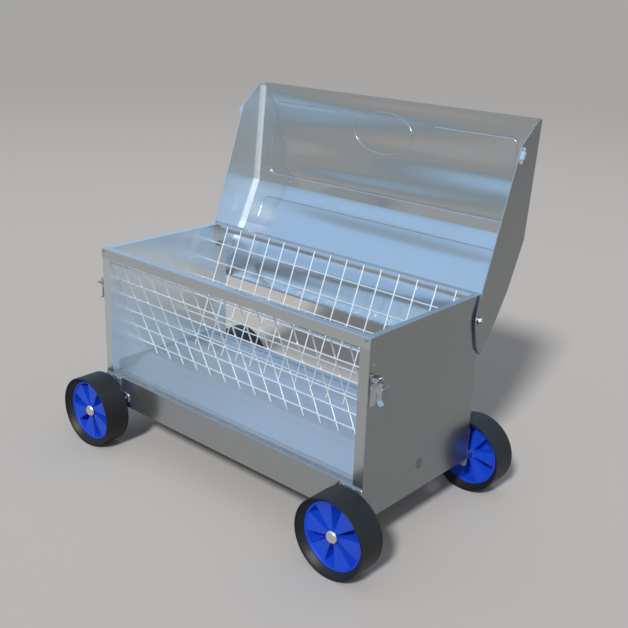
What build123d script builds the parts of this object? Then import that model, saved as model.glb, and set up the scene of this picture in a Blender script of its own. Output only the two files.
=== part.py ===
"""Wheeled hay rack: folded sheet body, wire hay rack, open hinged lid, four wheels.

Millimetres, +Z up. The origin is on the ground below the middle of the body,
+X runs along the length to the right, -Y is the front.
"""
import os
from math import asin, atan2, cos, degrees, hypot, radians, sin, tan

from build123d import *

os.makedirs("parts", exist_ok=True)

# Overall sizes
BODY_LENGTH = 1220.0
BODY_DEPTH = 567.0
BODY_HEIGHT = 588.0
SKIRT_HEIGHT = 112.0
WHEEL_R = 129.0
WHEEL_WIDTH = 97.0
AXLE_R = 10.0

# The body stands on the axles, and its skirts just clear them
HALF_LENGTH = BODY_LENGTH / 2
HALF_DEPTH = BODY_DEPTH / 2
SKIRT_BOTTOM = WHEEL_R + AXLE_R + 2.0
BODY_BOTTOM = SKIRT_BOTTOM - 4.0
LIP_TOP = SKIRT_BOTTOM + SKIRT_HEIGHT
BODY_TOP = BODY_BOTTOM + BODY_HEIGHT

# Sheet thicknesses and bends
PANEL_T = 1.5
RAIL_T = 1.5
SKIRT_T = 1.6
PAN_T = 1.6
LID_T = 1.5
BEND_R = 3.0

# End panels
SIDE_FLANGE = 37.0
TOP_FLANGE = 22.0
SPARE_HOLE = (-HALF_DEPTH + 21.5, BODY_TOP - 84.0)
SPARE_HOLE_R = 5.05
GRIP_HOLE_WIDTH = 36.0
GRIP_HOLE_TOP = LIP_TOP - 4.0
GRIP_HOLE_BOTTOM = GRIP_HOLE_TOP - GRIP_HOLE_WIDTH

# Top rails
RAIL_FACE = 35.0
RAIL_TOP = 27.0
RAIL_LIP = 11.0
RAIL_BEND = 2.5
RAIL_BOLT_X = HALF_LENGTH - 13.0
RAIL_BOLT_Z = BODY_TOP - 8.5

# Trough
LIP_WIDTH = 25.0
GUTTER_Y = HALF_DEPTH - 61.5
GUTTER_Z = LIP_TOP - 12.0
RIDGE_Y = GUTTER_Y - 125.0
RIDGE_Z = GUTTER_Z + 34.0
UPSTAND_Y = GUTTER_Y + 6.0
UPSTAND_Z = RIDGE_Z + 7.0
SKIRT_RETURN = 17.0

# Wire hay rack
WIRE_D = 5.0
WIRE_SLOPE = 21.5
LONG_PITCH = 73.0
CROSS_PITCH = 76.0
CROSS_COUNT = int(BODY_LENGTH / CROSS_PITCH)
RACK_TOP = (HALF_DEPTH + RAIL_T - RAIL_TOP, BODY_TOP)

# Clearances
PLAY = 0.3
RUN_FIT = 0.05
WELD_GAP = 0.02

# Wheels
RIM_R = WHEEL_R - 20.0
RIM_WIDTH = WHEEL_WIDTH - 43.0
RIM_FLARE = 3.0
SHOULDER = 3.0
WHEEL_X = HALF_LENGTH - 24.5
WHEEL_Y = HALF_DEPTH + WHEEL_WIDTH / 2 + 25.5
BUSH_R = AXLE_R + 4.0
BOSS_R = BUSH_R + 7.0
BOSS_WIDTH = RIM_WIDTH - 10.0
WEB_R = RIM_R - 8.0
SPOKES = 6
SPOKE_ANGLE = 36.0
SPOKE_WIDTH = BOSS_WIDTH - 1.0
WEB_T = 4.0
HUB_TURNS = {("front", "left"): 21.0, ("front", "right"): 55.0, ("rear", "left"): 8.0, ("rear", "right"): 36.0}
WASHER_R = AXLE_R + 10.0
WASHER_T = 3.0
CAP_R = AXLE_R + 12.0
CAP_LENGTH = 9.5
SPACER_R = AXLE_R + 6.0

# Axle plates
PLATE_T = 4.0
PLATE_LOW = WHEEL_R - AXLE_R - 14.0
PLATE_BOLTS = (
    (HALF_LENGTH - 68.0, LIP_TOP - 11.0),
    (HALF_LENGTH - 30.0, LIP_TOP - 11.0),
    (HALF_LENGTH - 112.0, LIP_TOP - 74.0),
)

# M6 fasteners
M6_R = 3.0
M6_HEAD_R = 5.6
M6_HEAD_H = 3.4
M6_NUT_H = 5.0
M6_NUT_FLATS = 10.0

# Lid pivot
PIVOT_Y = HALF_DEPTH - 13.5
PIVOT_Z = BODY_TOP - 85.0
PIVOT_R = 5.0
PIVOT_WASHER_R = 15.0
PIVOT_WASHER_T = 2.5
PIVOT_SPACER_R = 11.0
PIVOT_HEAD_FLATS = 17.0
PIVOT_HEAD_H = 6.4
PIVOT_NUT_H = 8.0

# Lid, drawn open: its front edge reaches over the depth of the body
LID_SIDE_GAP = 7.0
LID_LEAN = 33.0 / 387.0
LID_BEND_1 = (PIVOT_Y + 228.0, PIVOT_Z + 227.0)
LID_BEND_2 = (PIVOT_Y + 154.0, PIVOT_Z + 64.0)
LID_BACK = (PIVOT_Y + 29.0, PIVOT_Z - 129.0)
LID_FRONT_Z = PIVOT_Z + BODY_DEPTH + 47.0
LID_FRONT = (LID_BEND_1[0] + (LID_FRONT_Z - LID_BEND_1[1]) * LID_LEAN, LID_FRONT_Z)
LID_HEM = 12.0
LID_EDGE = (
    (LID_FRONT[0] - 25.0, LID_FRONT[1] - 6.0),
    (LID_FRONT[0] - 111.0, LID_FRONT[1] - 74.0),
    (PIVOT_Y - 26.0, PIVOT_Z + 24.0),
    (PIVOT_Y - 28.0, PIVOT_Z - 6.0),
    (PIVOT_Y - 4.0, PIVOT_Z - 95.0),
)
LID_PLATE_FLANGE = 16.0
BEAD_WIDTH = 9.0
BEAD_RISE = 2.2
BEAD_X = HALF_LENGTH - 65.0
BEAD_TOP = 71.0
BEAD_LOW = BODY_DEPTH - 220.0
BEAD_GAP = 222.0
BEAD_CORNER = 26.0
OVAL_HALF = (130.0, 74.0)
OVAL_DOWN = 120.0
BEAD_2_TOP = 62.0
BEAD_2_LOW = 148.0

# Latches
LATCH_Y = SPARE_HOLE[0]
LATCH_Z = BODY_TOP - 124.0
LATCH_STAND = 16.0
LATCH_BASE_T = 2.0
LATCH_BASE_HALF = 14.0
LATCH_BASE_LOW = LATCH_Z - 86.0
LATCH_BASE_TOP = LATCH_Z + 12.0
LATCH_EAR_T = 2.0
LATCH_PIN_R = 2.5
LEVER_HALF = 10.0
LEVER_T = 2.0
LEVER_LOW = LATCH_Z - 74.0
BAIL_R = 2.0
BAIL_HALF = LATCH_BASE_HALF + 3.0
BAIL_OFFSET = (-5.0, -10.0)
BAIL_REST = -11.0
KEEPER_T = 2.0
KEEPER_HALF = 26.0
RIVET_R = 2.5
RIVET_HEAD_R = 4.0
RIVET_HEAD_H = 1.6
RIVET_Y = 21.0
RIVET_UP = 14.0
HOOK_HALF = 12.5
HOOK_OUT = 14.5
HOOK_UP = 7.5

# Derived sizes shared by several pieces
PANEL_IN = HALF_LENGTH - PANEL_T
RAIL_OUT = HALF_DEPTH + RAIL_T
SKIRT_OUT = HALF_DEPTH + SKIRT_T
PLATE_OUT = SKIRT_OUT + PLATE_T
LID_IN = HALF_LENGTH + LID_SIDE_GAP
LID_OUT = LID_IN + LID_T
HUB_OUT = WHEEL_Y + BOSS_WIDTH / 2
HUB_IN = WHEEL_Y - BOSS_WIDTH / 2
WASHER_OUT = HUB_OUT + PLAY + WASHER_T
CAP_OUT = WASHER_OUT + CAP_LENGTH
AXLE_END = CAP_OUT - 5.0


def offset_path(points, distance):
    """Move an open line sideways to its left by distance, with mitred corners."""
    moved = []
    last = len(points) - 1
    for i, (u, v) in enumerate(points):
        normals = []
        for a, b in ((i - 1, i), (i, i + 1)):
            if a >= 0 and b <= last:
                du = points[b][0] - points[a][0]
                dv = points[b][1] - points[a][1]
                size = hypot(du, dv)
                normals.append((-dv / size, du / size))
        nu = sum(n[0] for n in normals)
        nv = sum(n[1] for n in normals)
        size = hypot(nu, nv)
        nu, nv = nu / size, nv / size
        stretch = distance / (nu * normals[0][0] + nv * normals[0][1])
        moved.append((u + nu * stretch, v + nv * stretch))
    return moved


def rounded(points, corners):
    """Draw a closed outline whose listed corners (index: radius) are rounded."""
    outline = []
    count = len(points)
    for i, p in enumerate(points):
        radius = corners.get(i, 0.0)
        if radius == 0.0:
            outline.append((p, p, p))
            continue
        before, after = points[i - 1], points[(i + 1) % count]
        a = Vector(before[0] - p[0], before[1] - p[1]).normalized()
        b = Vector(after[0] - p[0], after[1] - p[1]).normalized()
        half = radians(a.get_angle(b)) / 2
        run = radius / tan(half)
        mid = (a + b).normalized() * (radius / sin(half) - radius)
        start = (p[0] + a.X * run, p[1] + a.Y * run)
        end = (p[0] + b.X * run, p[1] + b.Y * run)
        outline.append((start, (p[0] + mid.X, p[1] + mid.Y), end))
    for i, (start, middle, end) in enumerate(outline):
        if start != end:
            ThreePointArc(start, middle, end)
        Line(end, outline[(i + 1) % count][0])


def folded(points, thickness, radius=BEND_R):
    """Outline of a folded sheet lying to the left of a path in the Y-Z plane."""
    inner = offset_path(points, thickness)
    corners = {}
    last = len(points) - 1
    total = 2 * len(points)
    for i in range(1, last):
        du, dv = points[i][0] - points[i - 1][0], points[i][1] - points[i - 1][1]
        eu, ev = points[i + 1][0] - points[i][0], points[i + 1][1] - points[i][1]
        left = du * ev - dv * eu > 0
        corners[i] = radius if left else radius - thickness
        corners[total - 1 - i] = radius - thickness if left else radius
    rounded(points + inner[::-1], corners)


def save(part, name):
    part.label = name
    export_step(part, f"parts/{name}.step")


def side_plane(x, side):
    """Plane across the length at x on one end, seen with +Y right and +Z up."""
    return Plane((side * x, 0, 0), x_dir=(0, 1, 0), z_dir=(1, 0, 0))


def front_plane(y, side):
    """Plane facing out of the front (side -1) or rear (side 1), +Z up."""
    return Plane((0, side * y, 0), x_dir=(-side, 0, 0), z_dir=(0, side, 0))


ENDS = (("left", -1), ("right", 1))
FACES = (("front", -1), ("rear", 1))


# End panels: web, front and rear flanges standing on the trough lip, top flange
def end_panel(side):
    top_y = RACK_TOP[0] - PLAY - RAIL_BEND * tan(radians(WIRE_SLOPE))
    shoulder = BODY_TOP - RAIL_BEND
    with BuildPart() as panel:
        with BuildSketch(side_plane(HALF_LENGTH, side)):
            with BuildLine():
                Polyline(
                    (-HALF_DEPTH, BODY_BOTTOM),
                    (HALF_DEPTH, BODY_BOTTOM),
                    (HALF_DEPTH, shoulder),
                    (top_y, shoulder),
                    (top_y, BODY_TOP),
                    (-top_y, BODY_TOP),
                    (-top_y, shoulder),
                    (-HALF_DEPTH, shoulder),
                    close=True,
                )
            make_face()
        extrude(amount=-side * PANEL_T)
        for face in (-1, 1):
            with BuildSketch(Plane.XY.offset(LIP_TOP)):
                with Locations((side * (HALF_LENGTH - SIDE_FLANGE / 2), face * (HALF_DEPTH - PANEL_T / 2))):
                    Rectangle(SIDE_FLANGE, PANEL_T)
            extrude(amount=shoulder - LIP_TOP)
        with BuildSketch(Plane.XY.offset(BODY_TOP)):
            with Locations((side * (HALF_LENGTH - TOP_FLANGE / 2), 0)):
                Rectangle(TOP_FLANGE, 2 * top_y)
        extrude(amount=-PANEL_T)
        outer = panel.edges().filter_by(Axis.Z).filter_by(
            lambda e: abs(e.center().X) > HALF_LENGTH - 0.1 and e.length > 400
        )
        fillet(outer, radius=1.4)
        with BuildSketch(side_plane(HALF_LENGTH, side)):
            with BuildLine():
                flat = GRIP_HOLE_BOTTOM + GRIP_HOLE_WIDTH / 2
                half = GRIP_HOLE_WIDTH / 2
                Polyline((-half, flat), (-half, GRIP_HOLE_TOP), (half, GRIP_HOLE_TOP), (half, flat))
                ThreePointArc((half, flat), (0, GRIP_HOLE_BOTTOM), (-half, flat))
            make_face()
            with Locations(SPARE_HOLE):
                Circle(SPARE_HOLE_R)
            with Locations((PIVOT_Y, PIVOT_Z)):
                Circle(PIVOT_R + RUN_FIT)
        extrude(amount=-side * PANEL_T, mode=Mode.SUBTRACT)
        for face in (-1, 1):
            with BuildSketch(front_plane(HALF_DEPTH, face)):
                with Locations((-face * side * RAIL_BOLT_X, RAIL_BOLT_Z)):
                    Circle(M6_R)
            extrude(amount=-PANEL_T, mode=Mode.SUBTRACT)
    return panel.part


for end, side in ENDS:
    save(end_panel(side), f"{end}_end_panel")


# Top rails: tall outer face over the panel flanges, top flange, small inner lip at the rack's slope
def top_rail(face):
    low = BODY_TOP - RAIL_FACE
    back = RACK_TOP[0]
    lean = RAIL_LIP * sin(radians(WIRE_SLOPE))
    path = [
        (face * RAIL_OUT, low),
        (face * RAIL_OUT, BODY_TOP),
        (face * back, BODY_TOP),
        (face * (back - lean), BODY_TOP - RAIL_LIP * cos(radians(WIRE_SLOPE))),
    ]
    if face < 0:
        path = path[::-1]
    with BuildPart() as rail:
        with BuildSketch(Plane.YZ):
            with BuildLine():
                folded(path, RAIL_T, RAIL_BEND)
            make_face()
        extrude(amount=HALF_LENGTH, both=True)
        with BuildSketch(front_plane(RAIL_OUT, face)):
            with Locations((-RAIL_BOLT_X, RAIL_BOLT_Z), (RAIL_BOLT_X, RAIL_BOLT_Z)):
                Circle(M6_R)
        extrude(amount=-2 * RAIL_T, mode=Mode.SUBTRACT)
        with BuildSketch(Plane.XY.offset(BODY_TOP - RAIL_BEND)):
            for side in (-1, 1):
                with Locations((side * (HALF_LENGTH - PANEL_T / 2 - PLAY / 2), face * (back + RAIL_T / 2 - lean / 2))):
                    Rectangle(PANEL_T + PLAY, 2 * RAIL_T + lean)
        extrude(amount=-RAIL_LIP, mode=Mode.SUBTRACT)
    return rail.part


for face_name, face in FACES:
    save(top_rail(face), f"{face_name}_top_rail")


# Skirts: outer face under the feed opening, lip flange on top, return at the bottom
def skirt(face):
    path = [
        (face * (SKIRT_OUT - SKIRT_RETURN), SKIRT_BOTTOM),
        (face * SKIRT_OUT, SKIRT_BOTTOM),
        (face * SKIRT_OUT, LIP_TOP),
        (face * (SKIRT_OUT - LIP_WIDTH), LIP_TOP),
    ]
    if face < 0:
        path = path[::-1]
    with BuildPart() as apron:
        with BuildSketch(Plane.YZ):
            with BuildLine():
                folded(path, SKIRT_T)
            make_face()
        extrude(amount=HALF_LENGTH, both=True)
        for side in (-1, 1):
            with BuildSketch(Plane.XY.offset(BODY_BOTTOM)):
                with Locations((side * (HALF_LENGTH - PANEL_T / 2), 0)):
                    Rectangle(PANEL_T, 2 * HALF_DEPTH)
            extrude(amount=LIP_TOP - BODY_BOTTOM, mode=Mode.SUBTRACT)
        with BuildSketch(front_plane(SKIRT_OUT, face)):
            for x, z in PLATE_BOLTS:
                with Locations((-x, z), (x, z)):
                    Circle(M6_R)
        extrude(amount=-2 * SKIRT_T, mode=Mode.SUBTRACT)
    return apron.part


for face_name, face in FACES:
    save(skirt(face), f"{face_name}_skirt")

# Floor pan: rims under both lips, a gutter along each side, a ridge in the middle
pan_rim = LIP_TOP - SKIRT_T
pan_half = [
    (HALF_DEPTH - 2.0, pan_rim),
    (SKIRT_OUT - LIP_WIDTH, pan_rim),
    (GUTTER_Y, GUTTER_Z),
    (RIDGE_Y, RIDGE_Z),
]
pan_path = pan_half + [(-y, z) for y, z in reversed(pan_half)]
with BuildPart() as floor_pan:
    with BuildSketch(Plane.YZ):
        with BuildLine():
            folded(pan_path, PAN_T, 4.0)
        make_face()
    extrude(amount=PANEL_IN, both=True)
    for side in (-1, 1):
        with BuildSketch(side_plane(PANEL_IN, side)):
            with BuildLine():
                rounded(
                    [
                        (-UPSTAND_Y, GUTTER_Z + 2.2),
                        (-GUTTER_Y, GUTTER_Z - PAN_T / 2),
                        (-RIDGE_Y, RIDGE_Z - PAN_T / 2),
                        (RIDGE_Y, RIDGE_Z - PAN_T / 2),
                        (GUTTER_Y, GUTTER_Z - PAN_T / 2),
                        (UPSTAND_Y, GUTTER_Z + 2.2),
                        (UPSTAND_Y, UPSTAND_Z),
                        (-UPSTAND_Y, UPSTAND_Z),
                    ],
                    {6: 12.0, 7: 12.0},
                )
            make_face()
        extrude(amount=-side * PAN_T)
save(floor_pan.part, "floor_pan")


# Wire racks: sloping wires on the rails' lips, long wires outside them, feet on the pan
def pan_height(y):
    slope = (RIDGE_Z - GUTTER_Z) / (GUTTER_Y - RIDGE_Y)
    return min(RIDGE_Z, GUTTER_Z + (GUTTER_Y - abs(y)) * slope)


def wire_rack(face):
    down = (-face * sin(radians(WIRE_SLOPE)), -cos(radians(WIRE_SLOPE)))
    out = (face * cos(radians(WIRE_SLOPE)), -sin(radians(WIRE_SLOPE)))
    inset = WIRE_D / 2 + WELD_GAP
    start = (face * RACK_TOP[0] - out[0] * inset, RACK_TOP[1] - out[1] * inset)
    length = LONG_PITCH
    while True:
        tip_y = start[0] + down[0] * length + out[0] * WIRE_D / 2
        tip_z = start[1] + down[1] * length + out[1] * WIRE_D / 2
        if tip_z - pan_height(tip_y) < PLAY:
            break
        length += 0.1
    length -= 0.1
    step = WIRE_D + WELD_GAP
    long_count = int((length - 2 * WIRE_D) / LONG_PITCH)
    cross_count = CROSS_COUNT if face < 0 else CROSS_COUNT - 1
    with BuildPart() as rack:
        for k in range(1, long_count + 1):
            y = start[0] + down[0] * LONG_PITCH * k + out[0] * step
            z = start[1] + down[1] * LONG_PITCH * k + out[1] * step
            with BuildSketch(Plane.YZ.offset(-(PANEL_IN - PLAY))):
                with Locations((y, z)):
                    Circle(WIRE_D / 2)
            extrude(amount=2 * (PANEL_IN - PLAY))
        for k in range(cross_count):
            x = (k - (cross_count - 1) / 2) * CROSS_PITCH
            outermost = face < 0 and k in (0, cross_count - 1)
            top = LONG_PITCH - 2 * WIRE_D if outermost else RAIL_BEND
            foot = Plane(
                (x, start[0] + down[0] * top, start[1] + down[1] * top),
                x_dir=(1, 0, 0),
                z_dir=(0, down[0], down[1]),
            )
            with BuildSketch(foot):
                Circle(WIRE_D / 2)
            extrude(amount=length - top)
    return rack.part


for face_name, face in FACES:
    save(wire_rack(face), f"{face_name}_rack")


# Axle plates: bolted on the skirts, hanging below them to carry the axles
def axle_plate(side, face):
    outline = [
        (HALF_LENGTH - 0.5, LIP_TOP - 4.0),
        (HALF_LENGTH - 83.0, LIP_TOP - 4.0),
        (HALF_LENGTH - 83.0, LIP_TOP - 50.0),
        (HALF_LENGTH - 128.0, LIP_TOP - 60.0),
        (HALF_LENGTH - 128.0, LIP_TOP - 88.0),
        (HALF_LENGTH - 56.0, PLATE_LOW),
        (HALF_LENGTH - 0.5, PLATE_LOW),
    ]
    flip = -face * side
    points = [(flip * x, z) for x, z in outline]
    with BuildPart() as plate:
        with BuildSketch(front_plane(SKIRT_OUT, face)):
            with BuildLine():
                rounded(points, {0: 4.0, 1: 4.0, 2: 8.0, 3: 10.0, 4: 10.0, 5: 16.0, 6: 12.0})
            make_face()
            with Locations((flip * WHEEL_X, WHEEL_R)):
                Circle(AXLE_R, mode=Mode.SUBTRACT)
            for x, z in PLATE_BOLTS:
                with Locations((flip * x, z)):
                    Circle(M6_R, mode=Mode.SUBTRACT)
        extrude(amount=PLATE_T)
        fillet(plate.faces().sort_by(Axis.Y)[0 if face < 0 else -1].outer_wire().edges(), radius=0.8)
    return plate.part


for face_name, face in FACES:
    for end, side in ENDS:
        save(axle_plate(side, face), f"{face_name}_{end}_axle_plate")

# Axles: one bar under each end, through both plates
for end, side in ENDS:
    with BuildPart() as axle:
        with BuildSketch(Plane.XZ.offset(-AXLE_END)):
            with Locations((side * WHEEL_X, WHEEL_R)):
                Circle(AXLE_R)
        extrude(amount=2 * AXLE_END)
        fillet(axle.edges(), radius=1.0)
    save(axle.part, f"{end}_axle")


def wheel_plane(side, face, y):
    """Plane at a wheel, +X of the plane to the viewer's right, normal outwards."""
    return Plane((side * WHEEL_X, face * y, WHEEL_R), x_dir=(-face, 0, 0), z_dir=(0, face, 0))


# Tyres: wide, with a flat tread and side walls that fall in to the rim
def tyre(side, face):
    half = WHEEL_WIDTH / 2
    seat = RIM_R + RUN_FIT
    with BuildPart() as ring:
        with BuildSketch(Plane((side * WHEEL_X, face * WHEEL_Y, WHEEL_R), x_dir=(0, 1, 0), z_dir=(1, 0, 0))):
            with BuildLine():
                rounded(
                    [
                        (-RIM_WIDTH / 2, seat),
                        (RIM_WIDTH / 2, seat),
                        (half, WHEEL_R - SHOULDER),
                        (half, WHEEL_R),
                        (-half, WHEEL_R),
                        (-half, WHEEL_R - SHOULDER),
                    ],
                    {2: SHOULDER / 3, 3: SHOULDER / 2, 4: SHOULDER / 2, 5: SHOULDER / 3},
                )
            make_face()
        revolve(axis=Axis((side * WHEEL_X, 0, WHEEL_R), (0, 1, 0)))
    return ring.part


# Outline of a sector between two radii, its sides straight and set in from the rays at the half angle
def sector(middle_angle, half_angle, r0, r1, set_in=0.0):
    def at(r, way):
        a = middle_angle + way * (half_angle - asin(set_in / r))
        return (r * cos(a), r * sin(a))

    Line(at(r0, -1), at(r1, -1))
    ThreePointArc(at(r1, -1), at(r1, 0), at(r1, 1))
    Line(at(r1, 1), at(r0, 1))
    Line(at(r0, 1), at(r0, -1))


# Hubs: rim, boss and six wide spokes, hollow behind, with a deep pocket between each two
def hub(side, face, turn):
    half = RIM_WIDTH / 2
    flat = SPOKE_WIDTH / 2 - 1.5
    middle = Plane((side * WHEEL_X, face * WHEEL_Y, WHEEL_R), x_dir=(1, 0, 0), z_dir=(0, -1, 0))
    with BuildPart() as wheel:
        with BuildSketch(Plane(middle.origin, x_dir=(0, 1, 0), z_dir=(1, 0, 0))):
            with BuildLine():
                rounded(
                    [
                        (-half, WEB_R + RIM_FLARE),
                        (-flat, WEB_R),
                        (flat, WEB_R),
                        (half, WEB_R + RIM_FLARE),
                        (half, RIM_R),
                        (-half, RIM_R),
                    ],
                    {0: 1.5, 3: 1.5, 4: 1.5, 5: 1.5},
                )
            make_face()
            with Locations((0, (BUSH_R + BOSS_R) / 2)):
                Rectangle(BOSS_WIDTH, BOSS_R - BUSH_R)
        revolve(axis=Axis((side * WHEEL_X, 0, WHEEL_R), (0, 1, 0)))
        half_spoke = radians(SPOKE_ANGLE / 2)
        half_gap = radians(180.0 / SPOKES) - half_spoke
        turns = [radians(turn + 360.0 * k / SPOKES) for k in range(SPOKES)]
        inner = middle.offset(face * SPOKE_WIDTH / 2)
        with BuildSketch(middle):
            for a in turns:
                with BuildLine():
                    sector(a, half_spoke, BOSS_R - 3.0, WEB_R + 2.0)
                make_face()
        extrude(amount=SPOKE_WIDTH / 2, both=True)
        with BuildSketch(inner):
            for a in turns:
                with BuildLine():
                    sector(a + half_spoke + half_gap, half_gap + radians(1.0), BOSS_R - 3.0, WEB_R + 2.0)
                make_face()
        extrude(amount=-face * WEB_T)
        with BuildSketch(inner):
            for a in turns:
                with BuildLine():
                    sector(a, half_spoke, BOSS_R + 4.0, WEB_R - 0.5, WEB_T)
                make_face()
        extrude(amount=-face * (SPOKE_WIDTH - WEB_T), mode=Mode.SUBTRACT)
    return wheel.part


# Bushes: plain sleeves pressed into the bosses, running on the axles
def bush(side, face):
    with BuildPart() as sleeve:
        with BuildSketch(wheel_plane(side, face, HUB_IN)):
            Circle(BUSH_R)
            Circle(AXLE_R + RUN_FIT, mode=Mode.SUBTRACT)
        extrude(amount=BOSS_WIDTH)
    return sleeve.part


for face_name, face in FACES:
    for end, side in ENDS:
        save(tyre(side, face), f"{face_name}_{end}_tyre")
        save(hub(side, face, HUB_TURNS[face_name, end]), f"{face_name}_{end}_hub")
        save(bush(side, face), f"{face_name}_{end}_bush")

# Spacers, washers and end caps on the axles
with BuildPart() as axle_spacers:
    for side in (-1, 1):
        for face in (-1, 1):
            with BuildSketch(wheel_plane(side, face, PLATE_OUT)):
                Circle(SPACER_R)
                Circle(AXLE_R, mode=Mode.SUBTRACT)
            extrude(amount=HUB_IN - PLAY - PLATE_OUT)
save(axle_spacers.part, "axle_spacers")

with BuildPart() as axle_washers:
    for side in (-1, 1):
        for face in (-1, 1):
            with BuildSketch(wheel_plane(side, face, HUB_OUT + PLAY)):
                Circle(WASHER_R)
                Circle(AXLE_R, mode=Mode.SUBTRACT)
            extrude(amount=WASHER_T)
save(axle_washers.part, "axle_washers")

with BuildPart() as axle_caps:
    for side in (-1, 1):
        for face in (-1, 1):
            seat = wheel_plane(side, face, WASHER_OUT)
            with BuildSketch(Plane(seat.origin, x_dir=seat.z_dir, z_dir=seat.x_dir)):
                with BuildLine():
                    Line((0, AXLE_R), (0, CAP_R))
                    Line((0, CAP_R), (CAP_LENGTH - 7.0, CAP_R))
                    ThreePointArc((CAP_LENGTH - 7.0, CAP_R), (CAP_LENGTH - 1.6, CAP_R - 4.0), (CAP_LENGTH, 8.0))
                    Line((CAP_LENGTH, 8.0), (CAP_LENGTH, 0))
                    Line((CAP_LENGTH, 0), (AXLE_END - WASHER_OUT, 0))
                    Line((AXLE_END - WASHER_OUT, 0), (AXLE_END - WASHER_OUT, AXLE_R))
                    Line((AXLE_END - WASHER_OUT, AXLE_R), (0, AXLE_R))
                make_face()
            revolve(axis=Axis(seat.origin, seat.z_dir))
            with BuildSketch(seat):
                with Locations((4.0, -CAP_R)):
                    SlotOverall(26.0, 9.0, rotation=90)
            extrude(amount=CAP_LENGTH, mode=Mode.SUBTRACT)
save(axle_caps.part, "axle_caps")


# Small fasteners on the front and rear: button heads outside, hexagon nuts inside
def facing_bolts(spots, out, inside):
    with BuildPart() as bolts:
        for face in (-1, 1):
            for x, z in spots:
                for side in (-1, 1):
                    head = front_plane(out, face)
                    with BuildSketch(head):
                        with Locations((side * x, z)):
                            Circle(M6_HEAD_R)
                    extrude(amount=M6_HEAD_H, taper=24)
                    with BuildSketch(head):
                        with Locations((side * x, z)):
                            Circle(M6_R)
                    extrude(amount=-(out - inside + M6_NUT_H + 1.5))
    return bolts.part


def facing_nuts(spots, inside):
    with BuildPart() as nuts:
        for face in (-1, 1):
            for x, z in spots:
                for side in (-1, 1):
                    with BuildSketch(front_plane(inside, face)):
                        with Locations((side * x, z)):
                            RegularPolygon(M6_NUT_FLATS / 2, 6, major_radius=False)
                            Circle(M6_R, mode=Mode.SUBTRACT)
                    extrude(amount=-M6_NUT_H)
    return nuts.part


rail_spots = ((RAIL_BOLT_X, RAIL_BOLT_Z),)
save(facing_bolts(rail_spots, RAIL_OUT, HALF_DEPTH - PANEL_T), "rail_bolts")
save(facing_nuts(rail_spots, HALF_DEPTH - PANEL_T), "rail_nuts")
save(facing_bolts(PLATE_BOLTS, PLATE_OUT, HALF_DEPTH), "plate_bolts")
save(facing_nuts(PLATE_BOLTS, HALF_DEPTH), "plate_nuts")

# Lid roof: three flat facets, hemmed front edge, back flange that meets the body
lid_path = [LID_FRONT, LID_BEND_1, LID_BEND_2, LID_BACK]
stop_y = HALF_DEPTH + PLAY
roof_inner = offset_path(lid_path, -LID_T)
flange_inner = offset_path(lid_path, -2 * LID_T)


def facet_plane(a, b):
    """Plane on the outside of a roof facet, +X to the left, -Y down from a to b."""
    du, dv = b[0] - a[0], b[1] - a[1]
    size = hypot(du, dv)
    return Plane((0, a[0], a[1]), x_dir=(-1, 0, 0), z_dir=(0, -dv / size, du / size))


def bead(points, corner):
    """Centre line of a pressed bead with rounded corners."""
    FilletPolyline(*points, radius=corner)


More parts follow.
